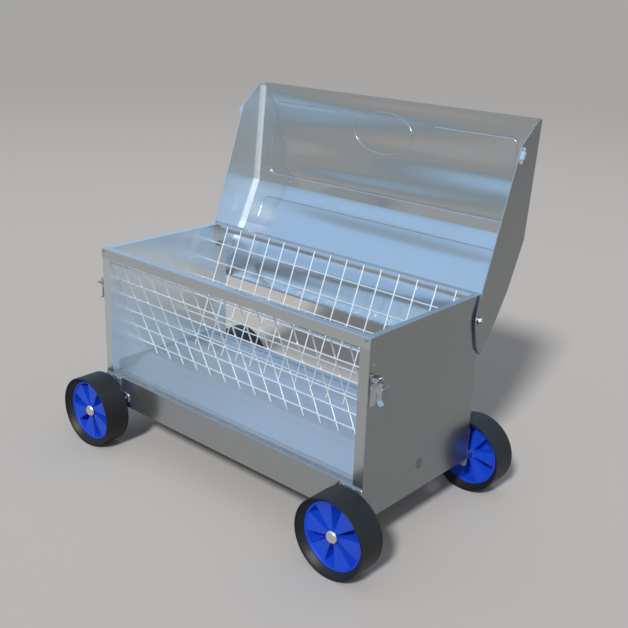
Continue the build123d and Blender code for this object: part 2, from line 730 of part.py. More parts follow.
with BuildPart() as lid_roof:
    with BuildSketch(Plane.YZ):
        with BuildLine():
            folded(lid_path[::-1], LID_T)
        make_face()
    extrude(amount=LID_OUT, both=True)
    with BuildSketch(Plane.YZ):
        with Locations(((stop_y + LID_BACK[0] - 0.6) / 2, LID_BACK[1] + LID_T / 2 + 0.2)):
            Rectangle(LID_BACK[0] - 0.6 - stop_y, LID_T)
    extrude(amount=LID_IN - LID_PLATE_FLANGE - PLAY, both=True)
    hem_down = offset_path(lid_path[:2], -2 * LID_T)
    hem_up = offset_path(lid_path[:2], -LID_T)
    hem_share = LID_HEM / hypot(LID_BEND_1[0] - LID_FRONT[0], LID_BEND_1[1] - LID_FRONT[1])
    with BuildSketch(Plane.YZ):
        with BuildLine():
            Polyline(
                hem_up[0],
                tuple(a + (b - a) * hem_share for a, b in zip(hem_up[0], hem_up[1])),
                tuple(a + (b - a) * hem_share for a, b in zip(hem_down[0], hem_down[1])),
                hem_down[0],
                close=True,
            )
        make_face()
    extrude(amount=LID_IN - LID_PLATE_FLANGE - PLAY, both=True)
    facet_1 = facet_plane(LID_FRONT, LID_BEND_1)
    facet_2 = facet_plane(LID_BEND_1, LID_BEND_2)
    open_bead = [
        (-BEAD_GAP, -BEAD_TOP),
        (-BEAD_X, -BEAD_TOP),
        (-BEAD_X, -BEAD_LOW),
        (BEAD_X, -BEAD_LOW),
        (BEAD_X, -BEAD_TOP),
        (BEAD_GAP, -BEAD_TOP),
    ]
    lower_bead = [
        (-BEAD_X, -BEAD_2_LOW),
        (-BEAD_X, -BEAD_2_TOP),
        (BEAD_X, -BEAD_2_TOP),
        (BEAD_X, -BEAD_2_LOW),
    ]
    groove = BEAD_WIDTH - 2.4
    for plane, points in ((facet_1, open_bead), (facet_2, lower_bead)):
        with BuildSketch(plane):
            with BuildLine():
                bead(points, BEAD_CORNER)
            trace(line_width=BEAD_WIDTH)
        extrude(amount=BEAD_RISE, taper=30)
        with BuildSketch(plane.offset(-LID_T)):
            with BuildLine():
                bead(points, BEAD_CORNER)
            trace(line_width=groove)
        extrude(amount=BEAD_RISE, taper=30, mode=Mode.SUBTRACT)
    for plane, width, mode in (
        (facet_1, BEAD_WIDTH, Mode.ADD),
        (facet_1.offset(-LID_T), groove, Mode.SUBTRACT),
    ):
        with BuildSketch(plane):
            with Locations((0, -OVAL_DOWN)):
                Ellipse(OVAL_HALF[0] + width / 2, OVAL_HALF[1] + width / 2)
                Ellipse(OVAL_HALF[0] - width / 2, OVAL_HALF[1] - width / 2, mode=Mode.SUBTRACT)
        extrude(amount=BEAD_RISE, mode=mode)
save(lid_roof.part, "lid_roof")


# The lid's closing angle: its flanges come to rest just above the front rail
def turned(point, angle):
    u, v = point[0] - PIVOT_Y, point[1] - PIVOT_Z
    c, s = cos(radians(angle)), sin(radians(angle))
    return (PIVOT_Y + u * c - v * s, PIVOT_Z + u * s + v * c)


def closed_gap(angle):
    a, b = turned(flange_inner[0], angle), turned(flange_inner[1], angle)
    share = (-RAIL_OUT - a[0]) / (b[0] - a[0])
    return a[1] + (b[1] - a[1]) * share - BODY_TOP


CLOSE_ANGLE = 90.0
while closed_gap(CLOSE_ANGLE) > 2 * PLAY:
    CLOSE_ANGLE += 0.01
CLOSE_ANGLE = round(CLOSE_ANGLE, 2)

# Latch geometry on the right end, as (x, z), with the lid closed
LATCH_X = HALF_LENGTH + LATCH_STAND
BAIL_PIVOT = (LATCH_X + BAIL_OFFSET[0], LATCH_Z + BAIL_OFFSET[1])
hook_y = (LATCH_Y - KEEPER_HALF, LATCH_Y + KEEPER_HALF)
edge_a, edge_b = turned(LID_EDGE[1], CLOSE_ANGLE), turned(LID_EDGE[2], CLOSE_ANGLE)
edge_z = max(edge_a[1] + (edge_b[1] - edge_a[1]) * (y - edge_a[0]) / (edge_b[0] - edge_a[0]) for y in hook_y)
SHELF_Z = edge_z + 3.0
HOOK_X = LID_OUT + HOOK_OUT
BAR = ((LID_OUT + KEEPER_T + HOOK_X - KEEPER_T) / 2, SHELF_Z + BAIL_R + 0.5)
BAIL_LENGTH = hypot(BAR[0] - BAIL_PIVOT[0], BAR[1] - BAIL_PIVOT[1])
BAIL_UP = degrees(atan2(BAR[1] - BAIL_PIVOT[1], BAR[0] - BAIL_PIVOT[0]))


RIVETS = [turned((LATCH_Y + dy, SHELF_Z + RIVET_UP), -CLOSE_ANGLE) for dy in (-RIVET_Y, RIVET_Y)]


# Lid end plates: cheek with a hemmed free edge and a flange under the roof
def lid_end(side):
    outline = [roof_inner[0]] + list(LID_EDGE) + [roof_inner[3], roof_inner[2], roof_inner[1]]
    edge = offset_path([LID_EDGE[0], LID_EDGE[1], LID_EDGE[2]], LID_HEM)
    with BuildPart() as cheek:
        with BuildSketch(side_plane(LID_IN, side)):
            with BuildLine():
                rounded(outline, {2: 22.0, 3: 30.0, 4: 40.0, 5: 26.0, 7: 4.0, 8: 4.0})
            make_face()
            with Locations((PIVOT_Y, PIVOT_Z)):
                Circle(PIVOT_R + RUN_FIT, mode=Mode.SUBTRACT)
        extrude(amount=side * LID_T)
        with BuildSketch(side_plane(LID_IN, side)):
            with BuildLine():
                folded(roof_inner[::-1], LID_T)
            make_face()
        extrude(amount=-side * LID_PLATE_FLANGE)
        with BuildSketch(side_plane(LID_IN, side)):
            with BuildLine():
                Polyline(
                    *[
                        tuple(a + (b - a) * t for a, b in zip(p, q))
                        for p, q, t in (
                            (LID_EDGE[0], LID_EDGE[1], 0.25),
                            (LID_EDGE[0], LID_EDGE[1], 0.93),
                            (LID_EDGE[1], LID_EDGE[2], 0.02),
                            (LID_EDGE[1], LID_EDGE[2], 0.96),
                            (edge[1], edge[2], 0.96),
                            (edge[1], edge[2], 0.0),
                            (edge[0], edge[1], 0.25),
                        )
                    ],
                    close=True,
                )
            make_face()
        extrude(amount=-side * LID_T)
        with BuildSketch(side_plane(LID_OUT, side)):
            with Locations(*RIVETS):
                Circle(RIVET_R)
        extrude(amount=-side * 2 * LID_T, mode=Mode.SUBTRACT)
    return cheek.part


for end, side in ENDS:
    save(lid_end(side), f"{end}_lid_end")


# Lid pivots: bolt, washer under the head, spacer and nut, held by the end panels
pivot_in = HALF_LENGTH - PANEL_T
washer_in = LID_OUT + PLAY
head_in = washer_in + PIVOT_WASHER_T


def pivot_rings(inner, outer, radius, hole):
    with BuildPart() as rings:
        for side in (-1, 1):
            with BuildSketch(side_plane(inner, side)):
                with Locations((PIVOT_Y, PIVOT_Z)):
                    Circle(radius)
                    Circle(hole, mode=Mode.SUBTRACT)
            extrude(amount=side * (outer - inner))
    return rings.part


save(pivot_rings(HALF_LENGTH, LID_IN - PLAY, PIVOT_SPACER_R, PIVOT_R), "pivot_spacers")
save(pivot_rings(washer_in, head_in, PIVOT_WASHER_R, PIVOT_R), "pivot_washers")

with BuildPart() as pivot_bolts:
    for side in (-1, 1):
        with BuildSketch(side_plane(head_in, side)):
            with Locations((PIVOT_Y, PIVOT_Z)):
                RegularPolygon(PIVOT_HEAD_FLATS / 2, 6, major_radius=False)
        extrude(amount=side * PIVOT_HEAD_H)
        with BuildSketch(side_plane(head_in, side)):
            with Locations((PIVOT_Y, PIVOT_Z)):
                Circle(PIVOT_R)
        extrude(amount=-side * (head_in - pivot_in + PIVOT_NUT_H + 2.0))
save(pivot_bolts.part, "pivot_bolts")

with BuildPart() as pivot_nuts:
    for side in (-1, 1):
        with BuildSketch(side_plane(pivot_in, side)):
            with Locations((PIVOT_Y, PIVOT_Z)):
                RegularPolygon(PIVOT_HEAD_FLATS / 2, 6, major_radius=False)
                Circle(PIVOT_R, mode=Mode.SUBTRACT)
        extrude(amount=-side * PIVOT_NUT_H)
save(pivot_nuts.part, "pivot_nuts")

def across(y, side):
    """Plane facing the front at y, +X of the plane away from the body's middle."""
    return Plane((0, y, 0), x_dir=(side, 0, 0), z_dir=(0, -side, 0))


# Keepers: hooks riveted on the lid ends, drawn closed and turned back to open
def keeper(side):
    z_top = SHELF_Z + 23.0
    with BuildPart() as catch:
        with BuildSketch(side_plane(LID_OUT, side)):
            with Locations((LATCH_Y, (SHELF_Z + z_top) / 2)):
                RectangleRounded(2 * KEEPER_HALF, z_top - SHELF_Z, 3.0)
            with Locations((LATCH_Y - RIVET_Y, SHELF_Z + RIVET_UP), (LATCH_Y + RIVET_Y, SHELF_Z + RIVET_UP)):
                Circle(RIVET_R, mode=Mode.SUBTRACT)
        extrude(amount=side * KEEPER_T)
        with BuildSketch(across(LATCH_Y, side)):
            with BuildLine():
                Polyline(
                    (LID_OUT, SHELF_Z + 4.0),
                    (LID_OUT, SHELF_Z - KEEPER_T),
                    (HOOK_X, SHELF_Z - KEEPER_T),
                    (HOOK_X, SHELF_Z + HOOK_UP),
                    (HOOK_X - KEEPER_T, SHELF_Z + HOOK_UP),
                    (HOOK_X - KEEPER_T, SHELF_Z),
                    (LID_OUT + KEEPER_T, SHELF_Z),
                    (LID_OUT + KEEPER_T, SHELF_Z + 4.0),
                    close=True,
                )
            make_face()
        extrude(amount=HOOK_HALF, both=True)
    return catch.part


lid_axis = Axis((0, PIVOT_Y, PIVOT_Z), (1, 0, 0))
for end, side in ENDS:
    save(keeper(side).rotate(lid_axis, -CLOSE_ANGLE), f"{end}_keeper")

# Keeper rivets: a domed head on each side and a shank through keeper and cheek
with BuildPart() as keeper_rivets:
    for side in (-1, 1):
        for spot in RIVETS:
            for face_x, up in ((LID_OUT + KEEPER_T, side), (LID_IN, -side)):
                with BuildSketch(side_plane(face_x, side)):
                    with Locations(spot):
                        Circle(RIVET_HEAD_R)
                extrude(amount=up * RIVET_HEAD_H, taper=30)
            with BuildSketch(side_plane(LID_IN, side)):
                with Locations(spot):
                    Circle(RIVET_R)
            extrude(amount=side * (LID_T + KEEPER_T))
save(keeper_rivets.part, "keeper_rivets")


# Latch bases: plate on the end panel with two ears for the lever's pin
def latch_base(side):
    face_x = HALF_LENGTH + LATCH_BASE_T
    with BuildPart() as base:
        with BuildSketch(side_plane(HALF_LENGTH, side)):
            with Locations((LATCH_Y, (LATCH_BASE_LOW + LATCH_BASE_TOP) / 2)):
                RectangleRounded(2 * LATCH_BASE_HALF, LATCH_BASE_TOP - LATCH_BASE_LOW, 5.0)
        extrude(amount=side * LATCH_BASE_T)
        for half in (-1, 1):
            y = LATCH_Y + half * (LATCH_BASE_HALF - LATCH_EAR_T / 2)
            with BuildSketch(across(y, side)):
                with BuildLine():
                    Polyline(
                        (LATCH_X, LATCH_Z + 8.0),
                        (face_x - 0.5, LATCH_Z + 8.0),
                        (face_x - 0.5, LATCH_Z - 4.5),
                        (LATCH_X, LATCH_Z - 8.0),
                    )
                    ThreePointArc(
                        (LATCH_X, LATCH_Z - 8.0), (LATCH_X + 8.0, LATCH_Z), (LATCH_X, LATCH_Z + 8.0)
                    )
                make_face()
                with Locations((LATCH_X, LATCH_Z)):
                    Circle(LATCH_PIN_R, mode=Mode.SUBTRACT)
            extrude(amount=LATCH_EAR_T / 2, both=True)
    return base.part


# Latch levers: channel on the pin, flat handle hanging down, curled end, two rests
def latch_lever(side):
    web_in = LATCH_X + 7.0
    web_out = web_in + LEVER_T
    arm = (LATCH_X + 7.5, tan(radians(BAIL_REST)))
    rest_z = BAIL_PIVOT[1] + (arm[0] - BAIL_PIVOT[0]) * arm[1] - BAIL_R / cos(radians(BAIL_REST)) - PLAY - 0.4
    with BuildPart() as lever:
        with BuildSketch(across(LATCH_Y, side)):
            with BuildLine():
                folded(
                    [
                        (web_out + 11.0, LEVER_LOW),
                        (web_out, LEVER_LOW + 12.0),
                        (web_out, LATCH_Z - 9.0),
                    ],
                    LEVER_T,
                    4.0,
                )
            make_face()
        extrude(amount=LEVER_HALF, both=True)
        for half in (-1, 1):
            y = LATCH_Y + half * (LEVER_HALF - LEVER_T / 2)
            with BuildSketch(across(y, side)):
                with BuildLine():
                    rounded(
                        [
                            (BAIL_PIVOT[0] - 4.5, BAIL_PIVOT[1] - 5.0),
                            (web_out - 0.5, LATCH_Z - 40.0),
                            (web_out - 0.5, LATCH_Z + 1.0),
                            (LATCH_X + 3.0, LATCH_Z + 7.0),
                            (LATCH_X - 6.0, LATCH_Z + 7.0),
                        ],
                        {0: 3.0, 3: 4.0, 4: 5.0},
                    )
                make_face()
                with Locations((LATCH_X, LATCH_Z)):
                    Circle(LATCH_PIN_R + RUN_FIT, mode=Mode.SUBTRACT)
                with Locations(BAIL_PIVOT):
                    Circle(BAIL_R + RUN_FIT, mode=Mode.SUBTRACT)
            extrude(amount=LEVER_T / 2, both=True)
            with BuildSketch(across(LATCH_Y + half * (LEVER_HALF - LEVER_T), side)):
                with Locations((arm[0] - 2.0, rest_z - 1.5)):
                    Rectangle(5.0, 3.0)
            extrude(amount=-half * side * (BAIL_HALF + BAIL_R - LEVER_HALF + LEVER_T))
    return lever.part


# Bails: wire loops hooked into the levers
def bail(side):
    c, s = cos(radians(BAIL_REST)), sin(radians(BAIL_REST))
    x0, z0 = BAIL_PIVOT
    tip = (x0 + BAIL_LENGTH * c, z0 + BAIL_LENGTH * s)
    inner = LEVER_HALF - LEVER_T - 0.5
    points = [
        (side * x0, LATCH_Y - inner, z0),
        (side * x0, LATCH_Y - BAIL_HALF, z0),
        (side * tip[0], LATCH_Y - BAIL_HALF, tip[1]),
        (side * tip[0], LATCH_Y + BAIL_HALF, tip[1]),
        (side * x0, LATCH_Y + BAIL_HALF, z0),
        (side * x0, LATCH_Y + inner, z0),
    ]
    with BuildPart() as loop:
        with BuildLine() as path:
            FilletPolyline(*points, radius=2.6)
        with BuildSketch(Plane(points[0], x_dir=(1, 0, 0), z_dir=(0, -1, 0))):
            Circle(BAIL_R)
        sweep(path=path.line)
    return loop.part


for end, side in ENDS:
    save(latch_base(side), f"{end}_latch_base")
    save(latch_lever(side), f"{end}_latch_lever")
    save(bail(side), f"{end}_latch_bail")

with BuildPart() as latch_pins:
    for side in (-1, 1):
        with BuildSketch(across(LATCH_Y, side)):
            with Locations((LATCH_X, LATCH_Z)):
                Circle(LATCH_PIN_R)
        extrude(amount=LATCH_BASE_HALF, both=True)
save(latch_pins.part, "latch_pins")

with BuildPart() as latch_rivets:
    for side in (-1, 1):
        for y, z in ((0.0, LATCH_BASE_LOW + 8.0), (-8.0, LATCH_Z - 30.0), (8.0, LATCH_Z - 30.0)):
            with BuildSketch(side_plane(HALF_LENGTH + LATCH_BASE_T, side)):
                with Locations((LATCH_Y + y, z)):
                    Circle(3.5)
            extrude(amount=side * 1.4, taper=30)
save(latch_rivets.part, "latch_rivets")

print("lid closes at", CLOSE_ANGLE, "degrees; bail pivot", BAIL_PIVOT, "length", round(BAIL_LENGTH, 2),
      "up at", round(BAIL_UP, 2), "axle end", AXLE_END, "latch pin x", LATCH_X)
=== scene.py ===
"""Looks of a wheeled hay rack: finishes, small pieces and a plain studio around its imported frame."""
import math

import bpy
from bpy.props import FloatProperty, FloatVectorProperty, IntProperty, PointerProperty
from mathutils import Matrix, Vector


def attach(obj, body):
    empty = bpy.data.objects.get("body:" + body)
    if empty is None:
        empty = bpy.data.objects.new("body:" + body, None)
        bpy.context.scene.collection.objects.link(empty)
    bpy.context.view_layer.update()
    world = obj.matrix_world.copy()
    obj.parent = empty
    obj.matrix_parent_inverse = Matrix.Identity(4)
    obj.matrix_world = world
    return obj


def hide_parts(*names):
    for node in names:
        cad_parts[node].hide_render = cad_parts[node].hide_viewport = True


bl_info = {
    "name": "Hay rack looks",
    "version": (1, 0, 0),
    "blender": (4, 5, 0),
    "location": "View3D > Sidebar > Hay rack",
    "description": "Finishes, small pieces and studio of a wheeled hay rack",
    "category": "Object",
}

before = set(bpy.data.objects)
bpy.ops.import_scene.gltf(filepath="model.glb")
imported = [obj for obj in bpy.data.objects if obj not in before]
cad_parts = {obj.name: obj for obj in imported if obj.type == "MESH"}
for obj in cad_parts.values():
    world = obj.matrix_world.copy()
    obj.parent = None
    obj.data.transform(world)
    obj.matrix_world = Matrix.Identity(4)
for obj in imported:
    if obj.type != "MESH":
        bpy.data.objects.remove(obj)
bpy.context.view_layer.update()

MM = 0.001
ENDS = ("left", "right")
FACES = ("front", "rear")
CORNERS = tuple(f"{face}_{end}" for face in FACES for end in ENDS)
SIDE = {"left": -1, "right": 1, "front": -1, "rear": 1}

# Which CAD nodes take which finish
RAILS = ("front_top_rail", "rear_top_rail")
SKIRTS = ("front_skirt", "rear_skirt")
END_SHEETS = {end: (f"{end}_end_panel", f"{end}_lid_end") for end in ENDS}
AXLE_PLATES = tuple(f"{corner}_axle_plate" for corner in CORNERS)
RACKS = ("front_rack", "rear_rack")
HARDWARE = (
    "left_axle", "right_axle", "axle_spacers", "axle_washers", "rail_bolts", "rail_nuts",
    "plate_bolts", "plate_nuts", "pivot_bolts", "pivot_nuts", "pivot_spacers", "pivot_washers",
    "latch_pins", "latch_rivets", "left_latch_bail", "right_latch_bail",
)
LATCHES = ("left_latch_base", "right_latch_base", "left_latch_lever", "right_latch_lever")
BRIGHT_FITTINGS = ("axle_caps", "left_keeper", "right_keeper", "keeper_rivets")
BUSHES = tuple(f"{corner}_bush" for corner in CORNERS)

# Zinc films: share of metal, scale and strength of spangle and clouds, strength and stretch of the rolling
# streaks, stretch of the slow waves, roughness
SHEET_FILM = {
    "metallic": 0.9, "Spangle_Scale": 75.0, "Spangle": 0.10, "Cloud_Scale": 3.2, "Cloud": 0.30,
    "Streak": 0.20,
}
LONG_FILM = {**SHEET_FILM, "Grain": (1.4, 70.0, 70.0), "Wave": (0.7, 4.5, 4.5)}
RAIL_FILM = {**LONG_FILM, "Rough": 0.22}
PAN_FILM = {**LONG_FILM, "Rough": 0.36}
LID_FILM = {**LONG_FILM, "Wave": (0.5, 5.6, 5.6), "Rough": 0.15}
END_FILM = {**SHEET_FILM, "Grain": (60.0, 60.0, 1.4), "Wave": (3.0, 3.0, 3.0), "Rough": 0.25}
PLATE_FILM = {
    "metallic": 0.86, "Spangle_Scale": 110.0, "Spangle": 0.3, "Cloud_Scale": 9.0, "Cloud": 0.6,
    "Streak": 0.1, "Rough": 0.36,
}
WIRE_FILM = {
    "metallic": 0.72, "Spangle_Scale": 300.0, "Spangle": 0.3, "Cloud_Scale": 18.0, "Cloud": 0.9,
    "Streak": 0.3, "Grain": (30.0, 30.0, 30.0), "Rough": 0.36,
}
FLANGE_FILM = {
    "metallic": 0.66, "Spangle_Scale": 140.0, "Spangle": 0.2, "Cloud_Scale": 14.0, "Cloud": 0.7,
    "Streak": 0.4, "Grain": (60.0, 8.0, 8.0), "Rough": 0.34,
}
BRIGHT_FILM = {
    "Spangle_Scale": 260.0, "Spangle": 0.2, "Cloud_Scale": 30.0, "Cloud": 0.6,
    "Streak": 0.2, "Grain": (90.0, 90.0, 90.0), "Rough": 0.24,
}
HARDWARE_FILM = {
    "Spangle_Scale": 240.0, "Spangle": 0.2, "Cloud_Scale": 25.0, "Cloud": 0.8,
    "Streak": 0.3, "Grain": (90.0, 90.0, 90.0), "Rough": 0.30,
}
LATCH_FILM = {**HARDWARE_FILM, "Rough": 0.34}
# Beside them: bend of the spangle's cells, change of roughness with tone, wave of the end sheets beside the
# long ones, dull tone of the flanges' painted-highlight strips, and how far a face looks in where the painted
# reflection on the end sheets' inner sides begins to lighten it and is lightest
WARP_SCALE = 45.0
WARP_REACH = 0.006
ROUGH_SHARE = -0.18
END_WAVE_SHARE = 0.25
FLANGE_DULL = 0.8
PAINTED_REFLECTION_RANGE = (-0.6, 1.0)

# Moulded skins: scale of tone and grain, roughness and its spread; then shine, grain's depth and strength
RUBBER_SKIN = {"Tone_Scale": 22.0, "Grain_Scale": 620.0, "Rough": 0.46, "Rough_Spread": 0.16}
PLASTIC_SKIN = {"Tone_Scale": 11.0, "Grain_Scale": 420.0, "Rough_Spread": 0.12}
FLOOR_SKIN = {"Tone_Scale": 0.8, "Grain_Scale": 90.0, "Rough": 0.85, "Rough_Spread": 0.05}
RUBBER_SHINE = 0.25
RUBBER_GRAIN_DEPTH = 0.0002
RUBBER_GRAIN = 0.4
PLASTIC_SHINE = 0.35
PLASTIC_GRAIN = 0.5
HUB_ROUGH = 0.38
HUB_GRAIN_DEPTH = 0.00015
BUSH_ROUGH = 0.5
BUSH_GRAIN_DEPTH = 0.0001
FLOOR_SHINE = 0.0
# Scuffed rubber: gain and start of its mask, roughness that it adds
SCUFF_GAIN = 1.2
SCUFF_START = -0.15
SCUFF_ROUGH = 0.1

# Modelling: points nearer than this are one, faces flatter than this are one, edges sharper than this show
MERGE = 0.00001
FLAT_ANGLE = math.radians(0.6)
EDGE_ANGLE = math.radians(35.0)
TYRE_EDGE_ANGLE = math.radians(40.0)
HUB_EDGE_STEPS = 2
BEAD_EDGE_STEPS = 3
FACE_WEIGHT = 100

# Wheels in millimetres: half of the tyre's section as (distance from its middle, radius), place, rolled tread
TYRE_HALF = (
    (26.2, 109.05), (27.0, 109.3), (27.6, 110.0), (31.0, 113.3), (35.0, 116.9), (39.0, 120.2), (43.0, 123.1),
    (45.6, 124.7), (46.2, 124.9), (46.8, 124.9), (47.5, 125.2), (48.1, 125.8), (48.4, 126.6), (48.5, 127.5),
    (48.3, 128.3), (47.7, 128.8), (46.8, 129.0), (45.0, 129.0), (30.0, 129.0), (15.0, 129.0), (0.6, 129.0),
)
WHEEL_X = 585.5
WHEEL_Y = 357.5
WHEEL_R = 129.0
TREAD_HALF = 45.5
TREAD_DEEP = 0.5

# The wire racks in millimetres: start of the sloping wires' middle line as (y, z), slope, pitches and counts,
# and how far out of that line the welds lie
RACK_TOP = (255.66, 725.92)
RACK_SLOPE = math.radians(21.5)
LONG_PITCH = 73.0
LONG_COUNT = 6
CROSS_PITCH = 76.0
CROSS_COUNTS = {"front": 16, "rear": 15}
WELD_OUT = 2.51

# A bead of weld: divisions round and from pole to pole, and its height beside its width on wire and on sheet
WELD_SEGMENTS = 8
WELD_RINGS = 6
WELD_FLAT = 0.55
SPOT_FLAT = 0.3

# The lid's roof in millimetres: outside of its section from the upper edge down as (y, z), and its flanges
LID_PATH = ((531.0, 1254.0), (498.0, 867.0), (424.0, 704.0), (299.0, 511.0))
LID_SHEET = 1.5
LID_FLANGE_X = 609.0
LID_FLANGE_WIDE = 15.6
LID_FLANGE_DEEP = 3.0
FLANGE_TRIM = (14.0, 18.0)
# Its beads: from where to where down each of the upper facets, how far along X, slack in the sheet's level
BEAD_REACH = ((40.0, 362.0), (40.0, 165.0))
BEAD_X_REACH = 598.0
BEAD_SLACK = 0.05
# Its spot welds: facet, share of the way down it
LID_SPOTS = (
    (0, 0.545), (0, 0.575), (0, 0.625), (0, 0.925),
    (1, 0.12), (1, 0.5), (1, 0.88),
    (2, 0.1), (2, 0.5), (2, 0.9),
)

# Light: where the key comes from, how its side fades into the far side, and the tones that bright metal
# mirrors by height on the two sides
KEY_FROM = (0.275, -0.704, 0.655)
KEY_PLACE = (0.0, 0.0, 4.0)
KEY_FADE = 0.45
KEY_SIDE = (
    (0.0, (0.30, 0.30, 0.29)),
    (0.06, (0.19, 0.245, 0.29)),
    (0.15, (0.25, 0.335, 0.42)),
    (0.34, (0.38, 0.60, 0.90)),
    (0.62, (0.40, 0.62, 0.92)),
    (1.0, (0.40, 0.57, 0.82)),
)
FAR_SIDE = (
    (0.0, (0.29, 0.29, 0.29)),
    (0.12, (0.36, 0.48, 0.64)),
    (0.35, (0.35, 0.53, 0.80)),
    (0.70, (0.36, 0.53, 0.79)),
    (1.0, (0.38, 0.54, 0.79)),
)

# Floor and camera: size of the floor, where its tone changes, width of the frame in mm, farthest view
FLOOR_RADIUS = 400.0
FLOOR_SIDES = 96
FLOOR_FADE = (2.0, 12.0)
FRAME_WIDTH = 36.0
FARTHEST = 1000.0


class HAYRACK_finish(bpy.types.PropertyGroup):
    """Colours and finishes of the hay rack"""

    sheet_light: FloatVectorProperty(
        name="Sheet light", description="Bright tone of the galvanised sheet", subtype="COLOR", size=3,
        default=(0.60, 0.63, 0.64), min=0.0, max=1.0)
    sheet_dark: FloatVectorProperty(
        name="Sheet dark", description="Dull tone of the galvanised sheet", subtype="COLOR", size=3,
        default=(0.48, 0.51, 0.525), min=0.0, max=1.0)
    # Painted reflection: the inner sides of the end sheets are painted lighter than the long sheets.
    inner_painted_reflection: FloatProperty(
        name="Inner tone", description="Tone of the inner sides of the end sheets beside the long sheets",
        subtype="FACTOR", default=1.45, min=0.0, max=1.5)
    left_tone: FloatProperty(
        name="Left tone", description="Tone of the left end sheets' outer sides beside the long sheets",
        subtype="FACTOR", default=1.0, min=0.0, max=1.5)
    # Painted shade: the right end sheets' outer sides are painted darker than the long sheets.
    right_painted_shade: FloatProperty(
        name="Right tone", description="Tone of the right end sheets' outer sides beside the long sheets",
        subtype="FACTOR", default=0.52, min=0.0, max=1.5)
    # Painted shade: the skirts are a darker copy of the long sheets' zinc.
    skirt_painted_shade: FloatProperty(
        name="Skirt tone", description="Tone of the skirts beside the other long sheets", subtype="FACTOR",
        default=0.72, min=0.0, max=1.0)
    wire_light: FloatVectorProperty(
        name="Wire light", description="Bright tone of the galvanised wire", subtype="COLOR", size=3,
        default=(0.93, 0.945, 0.95), min=0.0, max=1.0)
    wire_dark: FloatVectorProperty(
        name="Wire dark", description="Dull tone of the galvanised wire", subtype="COLOR", size=3,
        default=(0.74, 0.76, 0.77), min=0.0, max=1.0)
    hardware_light: FloatVectorProperty(
        name="Hardware light", description="Bright tone of the zinc-plated fittings", subtype="COLOR", size=3,
        default=(0.50, 0.515, 0.52), min=0.0, max=1.0)
    hardware_dark: FloatVectorProperty(
        name="Hardware dark", description="Dull tone of the zinc-plated fittings", subtype="COLOR", size=3,
        default=(0.28, 0.29, 0.30), min=0.0, max=1.0)
    latch_tone: FloatProperty(
        name="Latch tone", description="Tone of the latches beside the other fittings", subtype="FACTOR",
        default=1.4, min=0.0, max=1.9)
    # Painted highlight: bright tone of the thin strips laid on the lid's end flanges.
    flange_painted_highlight_tone: FloatVectorProperty(
        name="Flange tone", description="Tone of the bare faces of the lid's end flanges",
        subtype="COLOR", size=3, default=(0.82, 0.85, 0.87), min=0.0, max=1.0)
    bright_light: FloatVectorProperty(
        name="Bright light", description="Bright tone of the caps and keepers", subtype="COLOR", size=3,
        default=(0.86, 0.87, 0.87), min=0.0, max=1.0)
    bright_dark: FloatVectorProperty(
        name="Bright dark", description="Dull tone of the caps and keepers", subtype="COLOR", size=3,
        default=(0.66, 0.68, 0.69), min=0.0, max=1.0)
    rubber: FloatVectorProperty(
        name="Rubber", description="Colour of the tyres", subtype="COLOR", size=3,
        default=(0.011, 0.012, 0.013), min=0.0, max=1.0)
    rubber_scuff: FloatVectorProperty(
        name="Rubber scuff", description="Colour of the scuffed tread", subtype="COLOR", size=3,
        default=(0.020, 0.020, 0.021), min=0.0, max=1.0)
    hub: FloatVectorProperty(
        name="Hub", description="Colour of the moulded hubs", subtype="COLOR", size=3,
        default=(0.006, 0.058, 0.56), min=0.0, max=1.0)
    hub_deep: FloatVectorProperty(
        name="Hub deep", description="Deeper tone of the moulded hubs", subtype="COLOR", size=3,
        default=(0.005, 0.048, 0.48), min=0.0, max=1.0)
    bush: FloatVectorProperty(
        name="Bush", description="Colour of the wheel bushes", subtype="COLOR", size=3,
        default=(0.62, 0.61, 0.57), min=0.0, max=1.0)
    lid_wave: FloatProperty(
        name="Lid wave", description="Depth of the slow waves in the lid's roof", unit="LENGTH",
        default=0.05, min=0.0, max=0.1)
    sheet_wave: FloatProperty(
        name="Sheet wave", description="Depth of the slow waves in the flat sheets", unit="LENGTH",
        default=0.008, min=0.0, max=0.02)


class HAYRACK_sizes(bpy.types.PropertyGroup):
    """Sizes of the added pieces"""

    tyre_steps: IntProperty(
        name="Tyre steps", description="Divisions round a tyre", default=112, min=24, max=256)
    weld_radius: FloatProperty(
        name="Weld radius", description="Half width of a weld between two wires", unit="LENGTH",
        default=0.0032, min=0.001, max=0.006)
    bead_edge: FloatProperty(
        name="Bead edge", description="Width of the rounding along the lid's pressed beads", unit="LENGTH",
        default=0.0018, min=0.0002, max=0.003)
    # Painted highlight: thickness of the thin bright strips on the lid's end flanges.
    flange_skin: FloatProperty(
        name="Flange skin", description="Thickness of the bare faces on the lid's end flanges", unit="LENGTH",
        default=0.0002, min=0.00005, max=0.001)
    spot_radius: FloatProperty(
        name="Spot radius", description="Half width of a spot weld on the lid's flanges", unit="LENGTH",
        default=0.003, min=0.001, max=0.006)
    hub_edge: FloatProperty(
        name="Hub edge", description="Width of the rounded edges of the hubs", unit="LENGTH",
        default=0.0012, min=0.0001, max=0.003)


